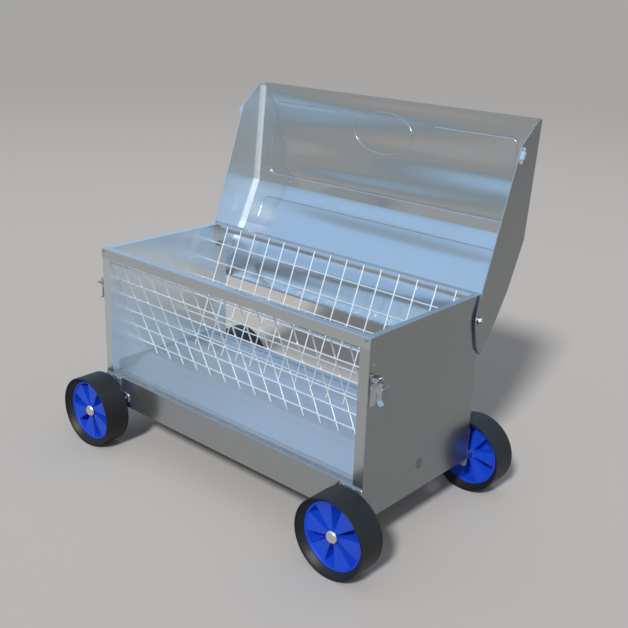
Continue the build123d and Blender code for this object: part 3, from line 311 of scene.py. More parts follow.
class HAYRACK_studio(bpy.types.PropertyGroup):
    """Camera, light and floor"""

    camera_place: FloatVectorProperty(
        name="Camera place", description="Where the camera stands", subtype="TRANSLATION", size=3,
        default=(2.0599, -2.1834, 1.6505))
    camera_yaw: FloatProperty(
        name="Camera yaw", description="Turn of the view from +Y towards +X", subtype="ANGLE",
        default=math.radians(-41.15))
    camera_pitch: FloatProperty(
        name="Camera pitch", description="Tilt of the view above the level", subtype="ANGLE",
        default=math.radians(-19.81))
    camera_roll: FloatProperty(
        name="Camera roll", description="Roll of the camera", subtype="ANGLE", default=math.radians(1.99))
    lens: FloatProperty(
        name="Lens", description="Focal length for a 36 mm frame", unit="CAMERA", default=53.53, min=10.0)
    key_level: FloatProperty(
        name="Key level", description="Strength of the soft key light", default=3.1, min=0.0)
    key_colour: FloatVectorProperty(
        name="Key colour", description="Colour of the soft key light", subtype="COLOR", size=3,
        default=(1.0, 0.965, 0.92), min=0.0, max=1.0)
    key_softness: FloatProperty(
        name="Key softness", description="Width of the key light as seen from the floor", subtype="ANGLE",
        default=math.radians(8.0), min=0.0)
    fill: FloatVectorProperty(
        name="Fill", description="Tone of the even light all round", subtype="COLOR", size=3,
        default=(0.40, 0.41, 0.43), min=0.0, max=1.0)
    backdrop: FloatVectorProperty(
        name="Backdrop", description="Tone behind the floor's far edge", subtype="COLOR", size=3,
        default=(0.387, 0.377, 0.369), min=0.0, max=1.0)
    mirror_level: FloatProperty(
        name="Mirror level", description="Strength of the bright bands that the metal mirrors",
        default=1.3, min=0.0)
    floor: FloatVectorProperty(
        name="Floor", description="Colour of the floor by the hay rack", subtype="COLOR", size=3,
        default=(0.46, 0.455, 0.45), min=0.0, max=1.0)
    floor_far: FloatVectorProperty(
        name="Floor far", description="Colour of the floor far away", subtype="COLOR", size=3,
        default=(0.37, 0.365, 0.36), min=0.0, max=1.0)


# Small helpers
def clear_selection():
    if bpy.context.object and bpy.context.object.mode != "OBJECT":
        bpy.ops.object.mode_set(mode="OBJECT")
    bpy.ops.object.select_all(action="DESELECT")


def make_active(obj):
    clear_selection()
    obj.select_set(True)
    bpy.context.view_layer.objects.active = obj


def apply_modifiers(obj):
    make_active(obj)
    for modifier in list(obj.modifiers):
        bpy.ops.object.modifier_apply(modifier=modifier.name)


def new_node(tree, kind, inputs=None, **settings):
    """Add a node, set its options and fill or link its inputs."""
    made = tree.nodes.new(kind)
    for key, value in settings.items():
        setattr(made, key, value)
    for key, value in (inputs or {}).items():
        if isinstance(value, bpy.types.NodeSocket):
            tree.links.new(value, made.inputs[key])
        else:
            made.inputs[key].default_value = value
    return made


def maths(tree, operation, *values, clamp=False):
    made = new_node(tree, "ShaderNodeMath", dict(enumerate(values)), operation=operation, use_clamp=clamp)
    return made.outputs[0]


def vector_maths(tree, operation, *values):
    return new_node(tree, "ShaderNodeVectorMath", dict(enumerate(values)), operation=operation).outputs


def noise(tree, vector, scale, detail, roughness=0.5):
    return new_node(tree, "ShaderNodeTexNoise", {
        "Vector": vector, "Scale": scale, "Detail": detail, "Roughness": roughness}).outputs


def blend(tree, share, first, second):
    """Two colours mixed."""
    made = new_node(tree, "ShaderNodeMix", {"Factor": share, "A": first, "B": second}, data_type="RGBA")
    return made.outputs["Result"]


def spread(tree, value, low, high, **settings):
    """A value spread from 0 at low to 1 at high."""
    ends = {"Value": value, "From Min": low, "From Max": high}
    return new_node(tree, "ShaderNodeMapRange", ends, **settings).outputs["Result"]


def rgba(colour):
    return (*colour, 1.0)


def new_group(name, inputs, outputs):
    """Start a shader node group with named sockets; returns the tree, its input and its output."""
    tree = bpy.data.node_groups.new(name, "ShaderNodeTree")
    for label, kind, default in inputs:
        socket = tree.interface.new_socket(name=label, in_out="INPUT", socket_type=kind)
        if default is not None:
            socket.default_value = default
    for label, kind in outputs:
        tree.interface.new_socket(name=label, in_out="OUTPUT", socket_type=kind)
    return tree, tree.nodes.new("NodeGroupInput").outputs, tree.nodes.new("NodeGroupOutput")


def zinc_film():
    """Zinc coat: spangle, clouding and rolling streaks as colour, roughness and slow height."""
    if "zinc_film" in bpy.data.node_groups:
        return bpy.data.node_groups["zinc_film"]
    tree, given, out = new_group(
        "zinc_film",
        (
            ("Vector", "NodeSocketVector", None),
            ("Light", "NodeSocketColor", (0.6, 0.6, 0.6, 1.0)),
            ("Dark", "NodeSocketColor", (0.4, 0.4, 0.4, 1.0)),
            ("Grain", "NodeSocketVector", (1.5, 60.0, 60.0)),
            ("Spangle Scale", "NodeSocketFloat", 70.0),
            ("Spangle", "NodeSocketFloat", 0.25),
            ("Cloud Scale", "NodeSocketFloat", 4.0),
            ("Cloud", "NodeSocketFloat", 0.6),
            ("Streak", "NodeSocketFloat", 0.4),
            ("Rough", "NodeSocketFloat", 0.3),
            ("Wave", "NodeSocketVector", (3.0, 3.0, 3.0)),
        ),
        (("Color", "NodeSocketColor"), ("Roughness", "NodeSocketFloat"), ("Height", "NodeSocketFloat")),
    )
    place = given["Vector"]
    warp = noise(tree, place, WARP_SCALE, detail=1.0)["Color"]
    bent = vector_maths(tree, "MULTIPLY", warp, (WARP_REACH,) * 3)["Vector"]
    moved = vector_maths(tree, "ADD", place, bent)["Vector"]
    cells = new_node(tree, "ShaderNodeTexVoronoi", {"Vector": moved, "Scale": given["Spangle Scale"]},
                     feature="F1").outputs["Color"]
    flake = new_node(tree, "ShaderNodeSeparateColor", {"Color": cells}).outputs["Red"]
    cloud = noise(tree, place, given["Cloud Scale"], detail=4.0, roughness=0.55)["Fac"]
    rolled = vector_maths(tree, "MULTIPLY", place, given["Grain"])["Vector"]
    streak = noise(tree, rolled, 1.0, detail=3.0, roughness=0.6)["Fac"]
    flake_off, cloud_off, streak_off = (
        maths(tree, "MULTIPLY", maths(tree, "SUBTRACT", mask, 0.5), given[strength])
        for mask, strength in ((flake, "Spangle"), (cloud, "Cloud"), (streak, "Streak"))
    )
    total = maths(tree, "ADD", maths(tree, "ADD", flake_off, cloud_off), streak_off)
    tone = blend(tree, maths(tree, "ADD", total, 0.5, clamp=True), given["Dark"], given["Light"])
    rough_shift = maths(tree, "MULTIPLY", total, ROUGH_SHARE)
    swell = vector_maths(tree, "MULTIPLY", place, given["Wave"])["Vector"]
    slow = noise(tree, swell, 1.0, detail=1.0, roughness=0.4)["Fac"]
    tree.links.new(tone, out.inputs["Color"])
    tree.links.new(maths(tree, "ADD", given["Rough"], rough_shift, clamp=True), out.inputs["Roughness"])
    tree.links.new(slow, out.inputs["Height"])
    return tree


def fine_grain():
    """Moulded skin: a slow tone mask and a fine raised grain."""
    if "fine_grain" in bpy.data.node_groups:
        return bpy.data.node_groups["fine_grain"]
    tree, given, out = new_group(
        "fine_grain",
        (
            ("Vector", "NodeSocketVector", None),
            ("Tone Scale", "NodeSocketFloat", 14.0),
            ("Grain Scale", "NodeSocketFloat", 500.0),
            ("Rough", "NodeSocketFloat", 0.4),
            ("Rough Spread", "NodeSocketFloat", 0.1),
        ),
        (("Tone", "NodeSocketFloat"), ("Roughness", "NodeSocketFloat"), ("Height", "NodeSocketFloat")),
    )
    tone = noise(tree, given["Vector"], given["Tone Scale"], detail=4.0)["Fac"]
    grain = noise(tree, given["Vector"], given["Grain Scale"], detail=2.0)["Fac"]
    shift = maths(tree, "MULTIPLY", maths(tree, "SUBTRACT", tone, 0.5), given["Rough Spread"])
    tree.links.new(tone, out.inputs["Tone"])
    tree.links.new(maths(tree, "ADD", given["Rough"], shift, clamp=True), out.inputs["Roughness"])
    tree.links.new(grain, out.inputs["Height"])
    return tree


def new_material(name):
    """Start a node material; returns it with its tree, shader and object coordinates."""
    made = bpy.data.materials.new(name)
    made.use_nodes = True
    tree = made.node_tree
    shader = next(n for n in tree.nodes if n.type == "BSDF_PRINCIPLED")
    place = tree.nodes.new("ShaderNodeTexCoord").outputs["Object"]
    return made, tree, shader, place


def place_group(tree, group, **values):
    made = tree.nodes.new("ShaderNodeGroup")
    made.node_tree = group
    for label, value in values.items():
        socket = made.inputs[label.replace("_", " ")]
        if isinstance(value, bpy.types.NodeSocket):
            tree.links.new(value, socket)
        else:
            socket.default_value = value
    return made.outputs


def bump(tree, shader, height, distance, strength=1.0):
    made = new_node(tree, "ShaderNodeBump", {"Height": height, "Distance": distance, "Strength": strength})
    tree.links.new(made.outputs["Normal"], shader.inputs["Normal"])


def inward_painted_reflection_mask(tree, side):
    """1 on the faces that look in along X at the given end, 0 on those that look out, between on the rest; it
    places the painted reflection that lightens an end sheet's inner side.
    """
    normal = tree.nodes.new("ShaderNodeTexCoord").outputs["Normal"]
    along = new_node(tree, "ShaderNodeSeparateXYZ", {0: normal}).outputs["X"]
    return spread(tree, maths(tree, "MULTIPLY", along, -side), *PAINTED_REFLECTION_RANGE)


def zinc(name, light, dark, wave=0.0, metallic=1.0, inner=None, **values):
    """A zinc-coated metal; inner gives an end's side, -1 or 1, and how much lighter its inward faces are
    painted, as a painted reflection.
    """
    made, tree, shader, place = new_material(name)
    tones = {"Light": rgba(light), "Dark": rgba(dark)}
    # Painted reflection: an end sheet's inward faces get a lighter copy of its tones.
    if inner:
        side, gain = inner
        mask = inward_painted_reflection_mask(tree, side)
        for label, tone in (("Light", light), ("Dark", dark)):
            tones[label] = blend(tree, mask, rgba(tone), rgba(tone * gain))
    film = place_group(tree, zinc_film(), Vector=place, **tones, **values)
    tree.links.new(film["Color"], shader.inputs["Base Color"])
    tree.links.new(film["Roughness"], shader.inputs["Roughness"])
    shader.inputs["Metallic"].default_value = metallic
    if wave:
        bump(tree, shader, film["Height"], wave)
    return made


def bright_zinc(finish):
    """The bright zinc of spot welds, caps and keepers, made once."""
    if "bright_zinc" in bpy.data.materials:
        return bpy.data.materials["bright_zinc"]
    return zinc("bright_zinc", finish.bright_light, finish.bright_dark, **BRIGHT_FILM)


def dress(names, material):
    """Give CAD nodes a finish."""
    for name in names:
        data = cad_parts[name].data
        data.materials.clear()
        data.materials.append(material)


def coloured_plastic(name, light, deep, rough, grain_depth):
    """A moulded plastic with a slow change of tone."""
    made, tree, shader, place = new_material(name)
    skin = place_group(tree, fine_grain(), Vector=place, Rough=rough, **PLASTIC_SKIN)
    tree.links.new(blend(tree, skin["Tone"], rgba(deep), rgba(light)), shader.inputs["Base Color"])
    tree.links.new(skin["Roughness"], shader.inputs["Roughness"])
    shader.inputs["Specular IOR Level"].default_value = PLASTIC_SHINE
    bump(tree, shader, skin["Height"], grain_depth, PLASTIC_GRAIN)
    return made


def tyre_rubber(finish):
    """Black rubber, greyer where the tread has rolled."""
    made, tree, shader, place = new_material("rolled_rubber")
    skin = place_group(tree, fine_grain(), Vector=place, **RUBBER_SKIN)
    tread = new_node(tree, "ShaderNodeAttribute", attribute_name="tread").outputs["Fac"]
    patches = maths(tree, "ADD", maths(tree, "MULTIPLY", skin["Tone"], SCUFF_GAIN), SCUFF_START)
    scuff = maths(tree, "MULTIPLY", tread, patches, clamp=True)
    tone = blend(tree, scuff, rgba(finish.rubber), rgba(finish.rubber_scuff))
    rough = maths(tree, "ADD", skin["Roughness"], maths(tree, "MULTIPLY", scuff, SCUFF_ROUGH))
    tree.links.new(tone, shader.inputs["Base Color"])
    tree.links.new(rough, shader.inputs["Roughness"])
    shader.inputs["Specular IOR Level"].default_value = RUBBER_SHINE
    bump(tree, shader, skin["Height"], RUBBER_GRAIN_DEPTH, RUBBER_GRAIN)
    return made


def own_copy(source, name, placing):
    """A copy with a mesh of its own, its vertices put in place."""
    data = source.data.copy()
    data.transform(placing)
    made = bpy.data.objects.new(name, data)
    bpy.context.scene.collection.objects.link(made)
    return made


def flat_bead(name, radius, flatness):
    """A small round bead of weld, flattened across its own Z."""
    clear_selection()
    bpy.ops.mesh.primitive_uv_sphere_add(segments=WELD_SEGMENTS, ring_count=WELD_RINGS, radius=radius)
    made = bpy.context.object
    made.name = made.data.name = name
    bpy.ops.object.mode_set(mode="EDIT")
    bpy.ops.mesh.select_all(action="SELECT")
    bpy.ops.transform.resize(value=(1.0, 1.0, flatness))
    bpy.ops.object.mode_set(mode="OBJECT")
    return made


def settle(piece):
    """Point the faces outwards and shade them smooth."""
    make_active(piece)
    bpy.ops.object.mode_set(mode="EDIT")
    bpy.ops.mesh.select_all(action="SELECT")
    bpy.ops.mesh.normals_make_consistent(inside=False)
    bpy.ops.object.mode_set(mode="OBJECT")
    bpy.ops.object.shade_smooth()


def joined(pieces, name):
    """Several objects made one."""
    make_active(pieces[0])
    for piece in pieces[1:]:
        piece.select_set(True)
    bpy.ops.object.join()
    made = bpy.context.object
    made.name = made.data.name = name
    return made


def lid_facet(number):
    """A facet of the lid's roof in metres: its upper and lower edge, the way down it and the way in."""
    top, low = Vector((0.0, *LID_PATH[number])) * MM, Vector((0.0, *LID_PATH[number + 1])) * MM
    along = (low - top).normalized()
    return top, low, along, Vector((0.0, along.z, -along.y))


def meeting(first, second):
    """Where two lines of the lid's section meet, each given by two points with the same X."""
    (a, b), (c, d) = first, second
    u, v = b - a, d - c
    share = ((c.y - a.y) * v.z - (c.z - a.z) * v.y) / (u.y * v.z - u.z * v.y)
    return a + u * share


def merged_copy(node, name):
    """A copy of a CAD node with its triangles joined into whole faces."""
    made = bpy.data.objects.new(name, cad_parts[node].data.copy())
    bpy.context.scene.collection.objects.link(made)
    make_active(made)
    bpy.ops.object.mode_set(mode="EDIT")
    bpy.ops.mesh.select_all(action="SELECT")
    bpy.ops.mesh.remove_doubles(threshold=MERGE)
    bpy.ops.mesh.customdata_custom_splitnormals_clear()
    bpy.ops.mesh.dissolve_limited(angle_limit=FLAT_ANGLE)
    bpy.ops.object.mode_set(mode="OBJECT")
    return made


def softened(node, name, width):
    """A copy of a CAD node with its edges rounded."""
    made = merged_copy(node, name)
    made.data.materials.clear()
    edge = made.modifiers.new("edge", "BEVEL")
    edge.width = width
    edge.segments = HUB_EDGE_STEPS
    edge.limit_method = "ANGLE"
    edge.angle_limit = EDGE_ANGLE
    edge.use_clamp_overlap = True
    apply_modifiers(made)
    bpy.ops.object.shade_smooth_by_angle(angle=EDGE_ANGLE)
    return made


class HAYRACK_OT_sheets(bpy.types.Operator):
    """Finish the galvanised sheets and the axle plates"""

    bl_idname = "hayrack.sheets"
    bl_label = "Galvanised sheets"

    def execute(self, context):
        finish = context.scene.hayrack_finish
        light, dark = Vector(finish.sheet_light), Vector(finish.sheet_dark)
        wave, skirt = finish.sheet_wave, finish.skirt_painted_shade
        dress(RAILS, zinc("galvanised_rail", light, dark, wave=wave, **RAIL_FILM))
        # Painted shade: the skirts take the rail's zinc made darker.
        dress(SKIRTS, zinc("galvanised_skirt_painted_shade", light * skirt, dark * skirt, wave=wave, **RAIL_FILM))
        dress(("floor_pan",), zinc("galvanised_pan", light, dark, wave=wave, **PAN_FILM))
        dress(("lid_roof",), zinc("galvanised_lid", light, dark, wave=finish.lid_wave, **LID_FILM))
        # Lit and shaded copies of the end sheets' zinc: painted shade darkens the right outer sides, and
        # painted reflection lightens the inner sides of both ends.
        for end, tone in (("left", finish.left_tone), ("right", finish.right_painted_shade)):
            sheet = zinc(f"galvanised_{end}", light * tone, dark * tone, wave=wave * END_WAVE_SHARE,
                         inner=(SIDE[end], finish.inner_painted_reflection / tone), **END_FILM)
            dress(END_SHEETS[end], sheet)
        dress(AXLE_PLATES, zinc("galvanised_plate", light, dark, **PLATE_FILM))
        return {"FINISHED"}


class HAYRACK_OT_lid_beads(bpy.types.Operator):
    """Round the pressed beads of a copy of the lid's roof"""

    bl_idname = "hayrack.lid_beads"
    bl_label = "Lid beads"

    def execute(self, context):
        piece = merged_copy("lid_roof", "lid_roof_sheet")
        found = self.mark(piece.data)
        if not found:
            raise RuntimeError("no bead edges on the lid's roof")
        make_active(piece)
        bpy.ops.object.mode_set(mode="EDIT")
        bpy.ops.mesh.select_mode(type="EDGE")
        width = context.scene.hayrack_sizes.bead_edge
        bpy.ops.mesh.bevel(offset=width, segments=BEAD_EDGE_STEPS, affect="EDGES", clamp_overlap=True)
        bpy.ops.mesh.select_mode(type="VERT")
        bpy.ops.object.mode_set(mode="OBJECT")
        bpy.ops.object.shade_smooth_by_angle(angle=EDGE_ANGLE)
        even = piece.modifiers.new("even", "WEIGHTED_NORMAL")
        even.weight = FACE_WEIGHT
        even.keep_sharp = True
        apply_modifiers(piece)
        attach(piece, "lid")
        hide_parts("lid_roof")
        return {"FINISHED"}

    def mark(self, mesh):
        """Select the edges where the beads leave the inside of the two upper facets."""
        for part in (mesh.vertices, mesh.edges, mesh.polygons):
            part.foreach_set("select", [False] * len(part))
        level = set()
        for facet, (first, last) in enumerate(BEAD_REACH):
            top, _, along, inward = lid_facet(facet)
            for vertex in mesh.vertices:
                gap = vertex.co - top
                inside = abs(gap.dot(inward) / MM - LID_SHEET) < BEAD_SLACK
                if inside and first < gap.dot(along) / MM < last and abs(vertex.co.x) / MM < BEAD_X_REACH:
                    level.add(vertex.index)
        sides = {}
        for face in mesh.polygons:
            for key in face.edge_keys:
                sides.setdefault(key, []).append(face.normal)
        found = 0
        for edge in mesh.edges:
            a, b = edge.vertices
            faces = sides.get(edge.key, ())
            if a in level and b in level and len(faces) == 2 and faces[0].angle(faces[1]) > EDGE_ANGLE:
                edge.select = True
                found += 1
        return found


class HAYRACK_OT_racks(bpy.types.Operator):
    """Finish the wire racks and weld their crossings"""

    bl_idname = "hayrack.racks"
    bl_label = "Wire racks"

    def execute(self, context):
        finish = context.scene.hayrack_finish
        wire = zinc("rack_wire", finish.wire_light, finish.wire_dark, **WIRE_FILM)
        dress(RACKS, wire)
        radius = context.scene.hayrack_sizes.weld_radius
        for face in FACES:
            weld = self.welds(face, radius)
            weld.data.materials.append(wire)
            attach(weld, "rack")
        return {"FINISHED"}

    def welds(self, face, radius):
        """One flattened bead of weld, repeated along and down the rack."""
        side, count = SIDE[face], CROSS_COUNTS[face]
        down = Vector((0.0, -side * math.sin(RACK_SLOPE), -math.cos(RACK_SLOPE)))
        out = Vector((0.0, side * math.cos(RACK_SLOPE), -math.sin(RACK_SLOPE)))
        first = Vector((0.0, side * RACK_TOP[0] * MM, RACK_TOP[1] * MM)) + out * (WELD_OUT * MM)
        first += down * (LONG_PITCH * MM)
        first.x = -(count - 1) / 2 * CROSS_PITCH * MM
        weld = flat_bead(f"{face}_rack_welds", radius, WELD_FLAT)
        turn = Matrix((Vector((1.0, 0.0, 0.0)), down, out)).transposed().to_4x4()
        weld.data.transform(Matrix.Translation(first) @ turn)
        for label, step, number in (
            ("along", Vector((CROSS_PITCH * MM, 0.0, 0.0)), count),
            ("rows", down * (LONG_PITCH * MM), LONG_COUNT),
        ):
            repeat = weld.modifiers.new(label, "ARRAY")
            repeat.use_relative_offset = False
            repeat.use_constant_offset = True
            repeat.constant_offset_displace = step
            repeat.count = number
        apply_modifiers(weld)
        settle(weld)
        return weld


class HAYRACK_OT_flanges(bpy.types.Operator):
    """Model a thin bright strip on each of the lid's end flanges along the folds of the roof, as a painted
    highlight
    """

    bl_idname = "hayrack.flanges"
    bl_label = "Lid flanges"

    def execute(self, context):
        finish = context.scene.hayrack_finish
        # Painted highlight: the strips on the flanges take a bright zinc.
        light = Vector(finish.flange_painted_highlight_tone)
        painted_highlight_zinc = zinc("flange_painted_highlight", light, light * FLANGE_DULL, **FLANGE_FILM)
        skin = context.scene.hayrack_sizes.flange_skin
        for end in ENDS:
            piece = self.face(f"{end}_lid_flange_painted_highlight_strip", SIDE[end], skin)
            piece.data.materials.append(painted_highlight_zinc)
            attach(piece, "lid")
        return {"FINISHED"}

    def face(self, name, side, skin):
        """A flat bar across the flange, drawn down the three facets."""
        edges = []
        for facet in range(len(LID_PATH) - 1):
            top, low, _, inward = lid_facet(facet)
            deep = inward * (LID_FLANGE_DEEP * MM)
            edges.append((top + deep, low + deep))
        line = [edges[0][0]] + [meeting(a, b) for a, b in zip(edges, edges[1:])] + [edges[-1][1]]
        line[0] = line[0].lerp(line[1], FLANGE_TRIM[0] * MM / (line[1] - line[0]).length)
        line[-1] = line[-1].lerp(line[-2], FLANGE_TRIM[1] * MM / (line[-2] - line[-1]).length)
        line = [point + Vector((side * LID_FLANGE_X * MM, 0.0, 0.0)) for point in line]
        clear_selection()
        bpy.ops.mesh.primitive_plane_add(size=1.0, location=line[0])
        piece = bpy.context.object
        piece.name = piece.data.name = name
        bpy.ops.object.mode_set(mode="EDIT")
        bpy.ops.mesh.select_all(action="SELECT")
        bpy.ops.transform.resize(value=(LID_FLANGE_WIDE * MM, 2.0 * skin, 1.0))
        for before, after in zip(line, line[1:]):
            bpy.ops.mesh.extrude_region_move(TRANSFORM_OT_translate={"value": after - before})
        bpy.ops.mesh.select_all(action="SELECT")
        bpy.ops.mesh.normals_make_consistent(inside=False)
        bpy.ops.object.mode_set(mode="OBJECT")
        bpy.ops.object.transform_apply(location=True, rotation=True, scale=True)
        return piece


class HAYRACK_OT_spot_welds(bpy.types.Operator):
    """Model one spot weld and set copies of it along the lid's end flanges"""

    bl_idname = "hayrack.spot_welds"
    bl_label = "Spot welds"

    def execute(self, context):
        bright = bright_zinc(context.scene.hayrack_finish)
        model = flat_bead("spot_model", context.scene.hayrack_sizes.spot_radius, SPOT_FLAT)
        for end in ENDS:
            copies = []
            for facet, share in LID_SPOTS:
                top, low, along, inward = lid_facet(facet)
                place = top.lerp(low, share) + inward * (LID_FLANGE_DEEP * MM)
                place.x = SIDE[end] * LID_FLANGE_X * MM
                turn = Matrix((along.cross(inward), along, inward)).transposed().to_4x4()
                copies.append(own_copy(model, f"{end}_spot", Matrix.Translation(place) @ turn))
            piece = joined(copies, f"{end}_lid_spot_welds")
            settle(piece)
            piece.data.materials.append(bright)
            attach(piece, "lid")
        bpy.data.objects.remove(model)
        return {"FINISHED"}


class HAYRACK_OT_hardware(bpy.types.Operator):
    """Finish the axles, bolts, latches and keepers"""

    bl_idname = "hayrack.hardware"
    bl_label = "Zinc hardware"

    def execute(self, context):
        finish = context.scene.hayrack_finish
        light, dark, tone = Vector(finish.hardware_light), Vector(finish.hardware_dark), finish.latch_tone
        dress(HARDWARE, zinc("plated_zinc", light, dark, **HARDWARE_FILM))
        dress(LATCHES, zinc("latch_zinc", light * tone, dark * tone, **LATCH_FILM))
        dress(BRIGHT_FITTINGS, bright_zinc(finish))
        return {"FINISHED"}


class HAYRACK_OT_tyres(bpy.types.Operator):
    """Model one tyre from its section and put a copy on each wheel"""

    bl_idname = "hayrack.tyres"
    bl_label = "Tyres"

    def execute(self, context):
        tyre = self.model(context.scene.hayrack_sizes.tyre_steps)
        tyre.data.materials.append(tyre_rubber(context.scene.hayrack_finish))
        for corner in CORNERS:
            face, end = corner.split("_")
            place = Vector((SIDE[end] * WHEEL_X * MM, SIDE[face] * WHEEL_Y * MM, WHEEL_R * MM))
            piece = own_copy(tyre, f"{corner}_moulded_tyre", Matrix.Translation(place))
            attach(piece, f"{corner}_wheel")
            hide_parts(f"{corner}_tyre")
        bpy.data.objects.remove(tyre)
        return {"FINISHED"}

    def model(self, steps):
        """Extrude the section point by point, spin it, turn it half a step onto a flat and mark the tread."""
        section = [(-y, r) for y, r in TYRE_HALF] + [(y, r) for y, r in reversed(TYRE_HALF)]
        points = [Vector((0.0, y * MM, r * MM)) for y, r in section]
        clear_selection()
        bpy.ops.mesh.primitive_plane_add(size=2.0 * MM)
        tyre = bpy.context.object
        tyre.name = tyre.data.name = "tyre_model"
        bpy.ops.object.mode_set(mode="EDIT")
        bpy.ops.mesh.select_all(action="SELECT")
        bpy.ops.mesh.merge(type="CENTER")
        bpy.ops.transform.translate(value=points[0])
        for before, after in zip(points, points[1:] + points[:1]):
            bpy.ops.mesh.extrude_region_move(TRANSFORM_OT_translate={"value": after - before})
        bpy.ops.mesh.select_all(action="SELECT")
        bpy.ops.mesh.remove_doubles(threshold=MERGE)
        bpy.ops.mesh.spin(steps=steps, angle=math.tau, center=(0.0, 0.0, 0.0), axis=(0.0, 1.0, 0.0))
        bpy.ops.mesh.select_all(action="SELECT")
        bpy.ops.mesh.remove_doubles(threshold=MERGE)
        bpy.ops.mesh.normals_make_consistent(inside=False)
        bpy.ops.object.mode_set(mode="OBJECT")
        bpy.ops.object.shade_smooth_by_angle(angle=TYRE_EDGE_ANGLE)
        tyre.data.transform(Matrix.Rotation(math.pi / steps, 4, "Y"))
        tread = tyre.data.attributes.new("tread", "FLOAT", "POINT")
        for vertex, value in zip(tyre.data.vertices, tread.data):
            rolled = math.hypot(vertex.co.x, vertex.co.z) / MM > WHEEL_R - TREAD_DEEP
            value.value = 1.0 if rolled and abs(vertex.co.y) / MM < TREAD_HALF else 0.0
        return tyre


class HAYRACK_OT_hubs(bpy.types.Operator):
    """Round the edges of the moulded hubs and finish hubs and bushes"""

    bl_idname = "hayrack.hubs"
    bl_label = "Hubs"

    def execute(self, context):
        finish = context.scene.hayrack_finish
        blue = coloured_plastic("moulded_blue", finish.hub, finish.hub_deep, HUB_ROUGH, HUB_GRAIN_DEPTH)
        pale = coloured_plastic("moulded_bush", finish.bush, finish.bush, BUSH_ROUGH, BUSH_GRAIN_DEPTH)
        for corner in CORNERS:
            piece = softened(f"{corner}_hub", f"{corner}_moulded_hub", context.scene.hayrack_sizes.hub_edge)
            piece.data.materials.append(blue)
            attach(piece, f"{corner}_wheel")
            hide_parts(f"{corner}_hub")
        dress(BUSHES, pale)
        return {"FINISHED"}


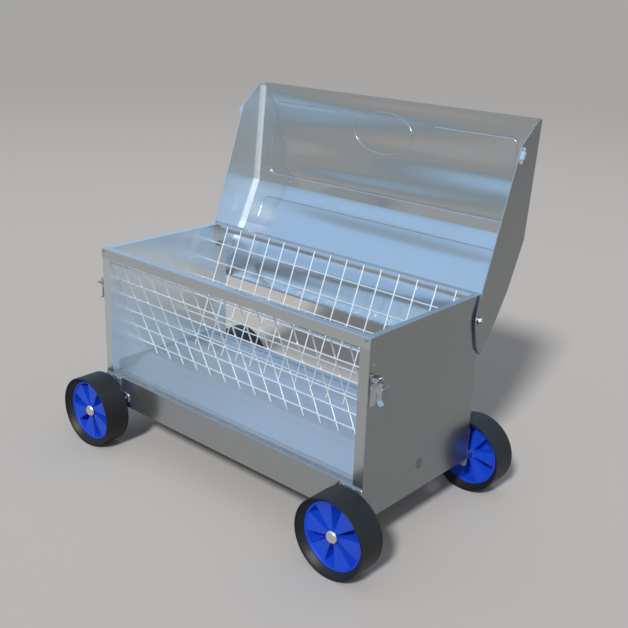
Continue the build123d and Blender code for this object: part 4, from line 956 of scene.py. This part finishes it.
class HAYRACK_OT_stage(bpy.types.Operator):
    """Lay the pale floor, light it softly and place the camera"""

    bl_idname = "hayrack.stage"
    bl_label = "Studio"

    def execute(self, context):
        studio = context.scene.hayrack_studio
        self.floor(studio)
        self.lights(context, studio)
        self.camera(context, studio)
        context.scene.view_settings.view_transform = "Standard"
        return {"FINISHED"}

    def floor(self, studio):
        clear_selection()
        bpy.ops.mesh.primitive_circle_add(
            vertices=FLOOR_SIDES, radius=FLOOR_RADIUS, fill_type="NGON", location=(0.0, 0.0, 0.0))
        floor = bpy.context.object
        floor.name = "studio_floor"
        made, tree, shader, place = new_material("studio_floor")
        skin = place_group(tree, fine_grain(), Vector=place, **FLOOR_SKIN)
        away = spread(tree, vector_maths(tree, "LENGTH", place)["Value"], *FLOOR_FADE,
                      interpolation_type="SMOOTHSTEP")
        tone = blend(tree, away, rgba(studio.floor), rgba(studio.floor_far))
        tree.links.new(tone, shader.inputs["Base Color"])
        tree.links.new(skin["Roughness"], shader.inputs["Roughness"])
        shader.inputs["Specular IOR Level"].default_value = FLOOR_SHINE
        floor.data.materials.append(made)

    def lights(self, context, studio):
        world = bpy.data.worlds.new("studio_light")
        world.use_nodes = True
        context.scene.world = world
        tree = world.node_tree
        back = next(n for n in tree.nodes if n.type == "BACKGROUND")
        way = tree.nodes.new("ShaderNodeTexCoord").outputs["Generated"]
        height = new_node(tree, "ShaderNodeSeparateXYZ", {0: way}).outputs["Z"]
        facing = vector_maths(tree, "DOT_PRODUCT", way, (KEY_FROM[0], KEY_FROM[1], 0.0))["Value"]
        share = spread(tree, facing, -KEY_FADE, KEY_FADE, interpolation_type="SMOOTHSTEP")
        mirrored = blend(tree, share, self.bands(tree, height, FAR_SIDE), self.bands(tree, height, KEY_SIDE))
        bright = new_node(tree, "ShaderNodeVectorMath", {0: mirrored, "Scale": studio.mirror_level},
                          operation="SCALE").outputs["Vector"]
        path = tree.nodes.new("ShaderNodeLightPath").outputs
        sharp = maths(tree, "MAXIMUM", path["Is Glossy Ray"], path["Is Transmission Ray"])
        lit = blend(tree, sharp, rgba(studio.fill), bright)
        seen = blend(tree, path["Is Camera Ray"], lit, rgba(studio.backdrop))
        tree.links.new(seen, back.inputs["Color"])
        world.cycles.sampling_method = "NONE"
        clear_selection()
        bpy.ops.object.light_add(type="SUN", location=KEY_PLACE)
        key = bpy.context.object
        key.name = "soft_key"
        key.data.angle = studio.key_softness
        key.data.energy = studio.key_level
        key.data.color = studio.key_colour
        key.rotation_euler = Vector(KEY_FROM).to_track_quat("Z", "Y").to_euler()

    def bands(self, tree, height, tones):
        """Tones by height above the level."""
        ramp = new_node(tree, "ShaderNodeValToRGB", {"Fac": height})
        made = ramp.color_ramp.elements
        made[0].position, made[0].color = tones[0][0], rgba(tones[0][1])
        made[1].position, made[1].color = tones[-1][0], rgba(tones[-1][1])
        for position, colour in tones[1:-1]:
            made.new(position).color = rgba(colour)
        return ramp.outputs["Color"]

    def camera(self, context, studio):
        yaw, pitch, roll = studio.camera_yaw, studio.camera_pitch, studio.camera_roll
        ahead = Vector((
            math.sin(yaw) * math.cos(pitch), math.cos(yaw) * math.cos(pitch), math.sin(pitch)))
        level = Vector((math.cos(yaw), -math.sin(yaw), 0.0))
        above = level.cross(ahead)
        right = level * math.cos(roll) + above * math.sin(roll)
        up = above * math.cos(roll) - level * math.sin(roll)
        clear_selection()
        bpy.ops.object.camera_add(location=studio.camera_place)
        camera = bpy.context.object
        camera.name = "photo_camera"
        turn = Matrix((right, up, -ahead)).transposed().to_4x4()
        camera.matrix_world = Matrix.Translation(studio.camera_place) @ turn
        camera.data.lens = studio.lens
        camera.data.sensor_width = FRAME_WIDTH
        camera.data.clip_end = FARTHEST
        context.scene.camera = camera


class HAYRACK_PT_panel(bpy.types.Panel):
    """The hay rack's steps in order"""

    bl_idname = "HAYRACK_PT_panel"
    bl_label = "Hay rack"
    bl_space_type = "VIEW_3D"
    bl_region_type = "UI"
    bl_category = "Hay rack"

    def draw(self, context):
        for operator in STEPS:
            self.layout.operator(operator.bl_idname)
        for group in ("hayrack_finish", "hayrack_sizes", "hayrack_studio"):
            settings = getattr(context.scene, group)
            box = self.layout.box()
            for key in settings.bl_rna.properties.keys():
                if key not in ("rna_type", "name"):
                    box.prop(settings, key)


STEPS = (
    HAYRACK_OT_stage,
    HAYRACK_OT_sheets,
    HAYRACK_OT_lid_beads,
    HAYRACK_OT_racks,
    HAYRACK_OT_flanges,
    HAYRACK_OT_spot_welds,
    HAYRACK_OT_hardware,
    HAYRACK_OT_tyres,
    HAYRACK_OT_hubs,
)
CLASSES = (HAYRACK_finish, HAYRACK_sizes, HAYRACK_studio, *STEPS, HAYRACK_PT_panel)


def register():
    for made in CLASSES:
        bpy.utils.register_class(made)
    bpy.types.Scene.hayrack_finish = PointerProperty(type=HAYRACK_finish)
    bpy.types.Scene.hayrack_sizes = PointerProperty(type=HAYRACK_sizes)
    bpy.types.Scene.hayrack_studio = PointerProperty(type=HAYRACK_studio)


def unregister():
    del bpy.types.Scene.hayrack_studio
    del bpy.types.Scene.hayrack_sizes
    del bpy.types.Scene.hayrack_finish
    for made in reversed(CLASSES):
        bpy.utils.unregister_class(made)


def main():
    register()
    bpy.ops.hayrack.stage()
    bpy.ops.hayrack.sheets()
    bpy.ops.hayrack.lid_beads()
    bpy.ops.hayrack.racks()
    bpy.ops.hayrack.flanges()
    bpy.ops.hayrack.spot_welds()
    bpy.ops.hayrack.hardware()
    bpy.ops.hayrack.tyres()
    bpy.ops.hayrack.hubs()


if __name__ == "__main__":
    main()
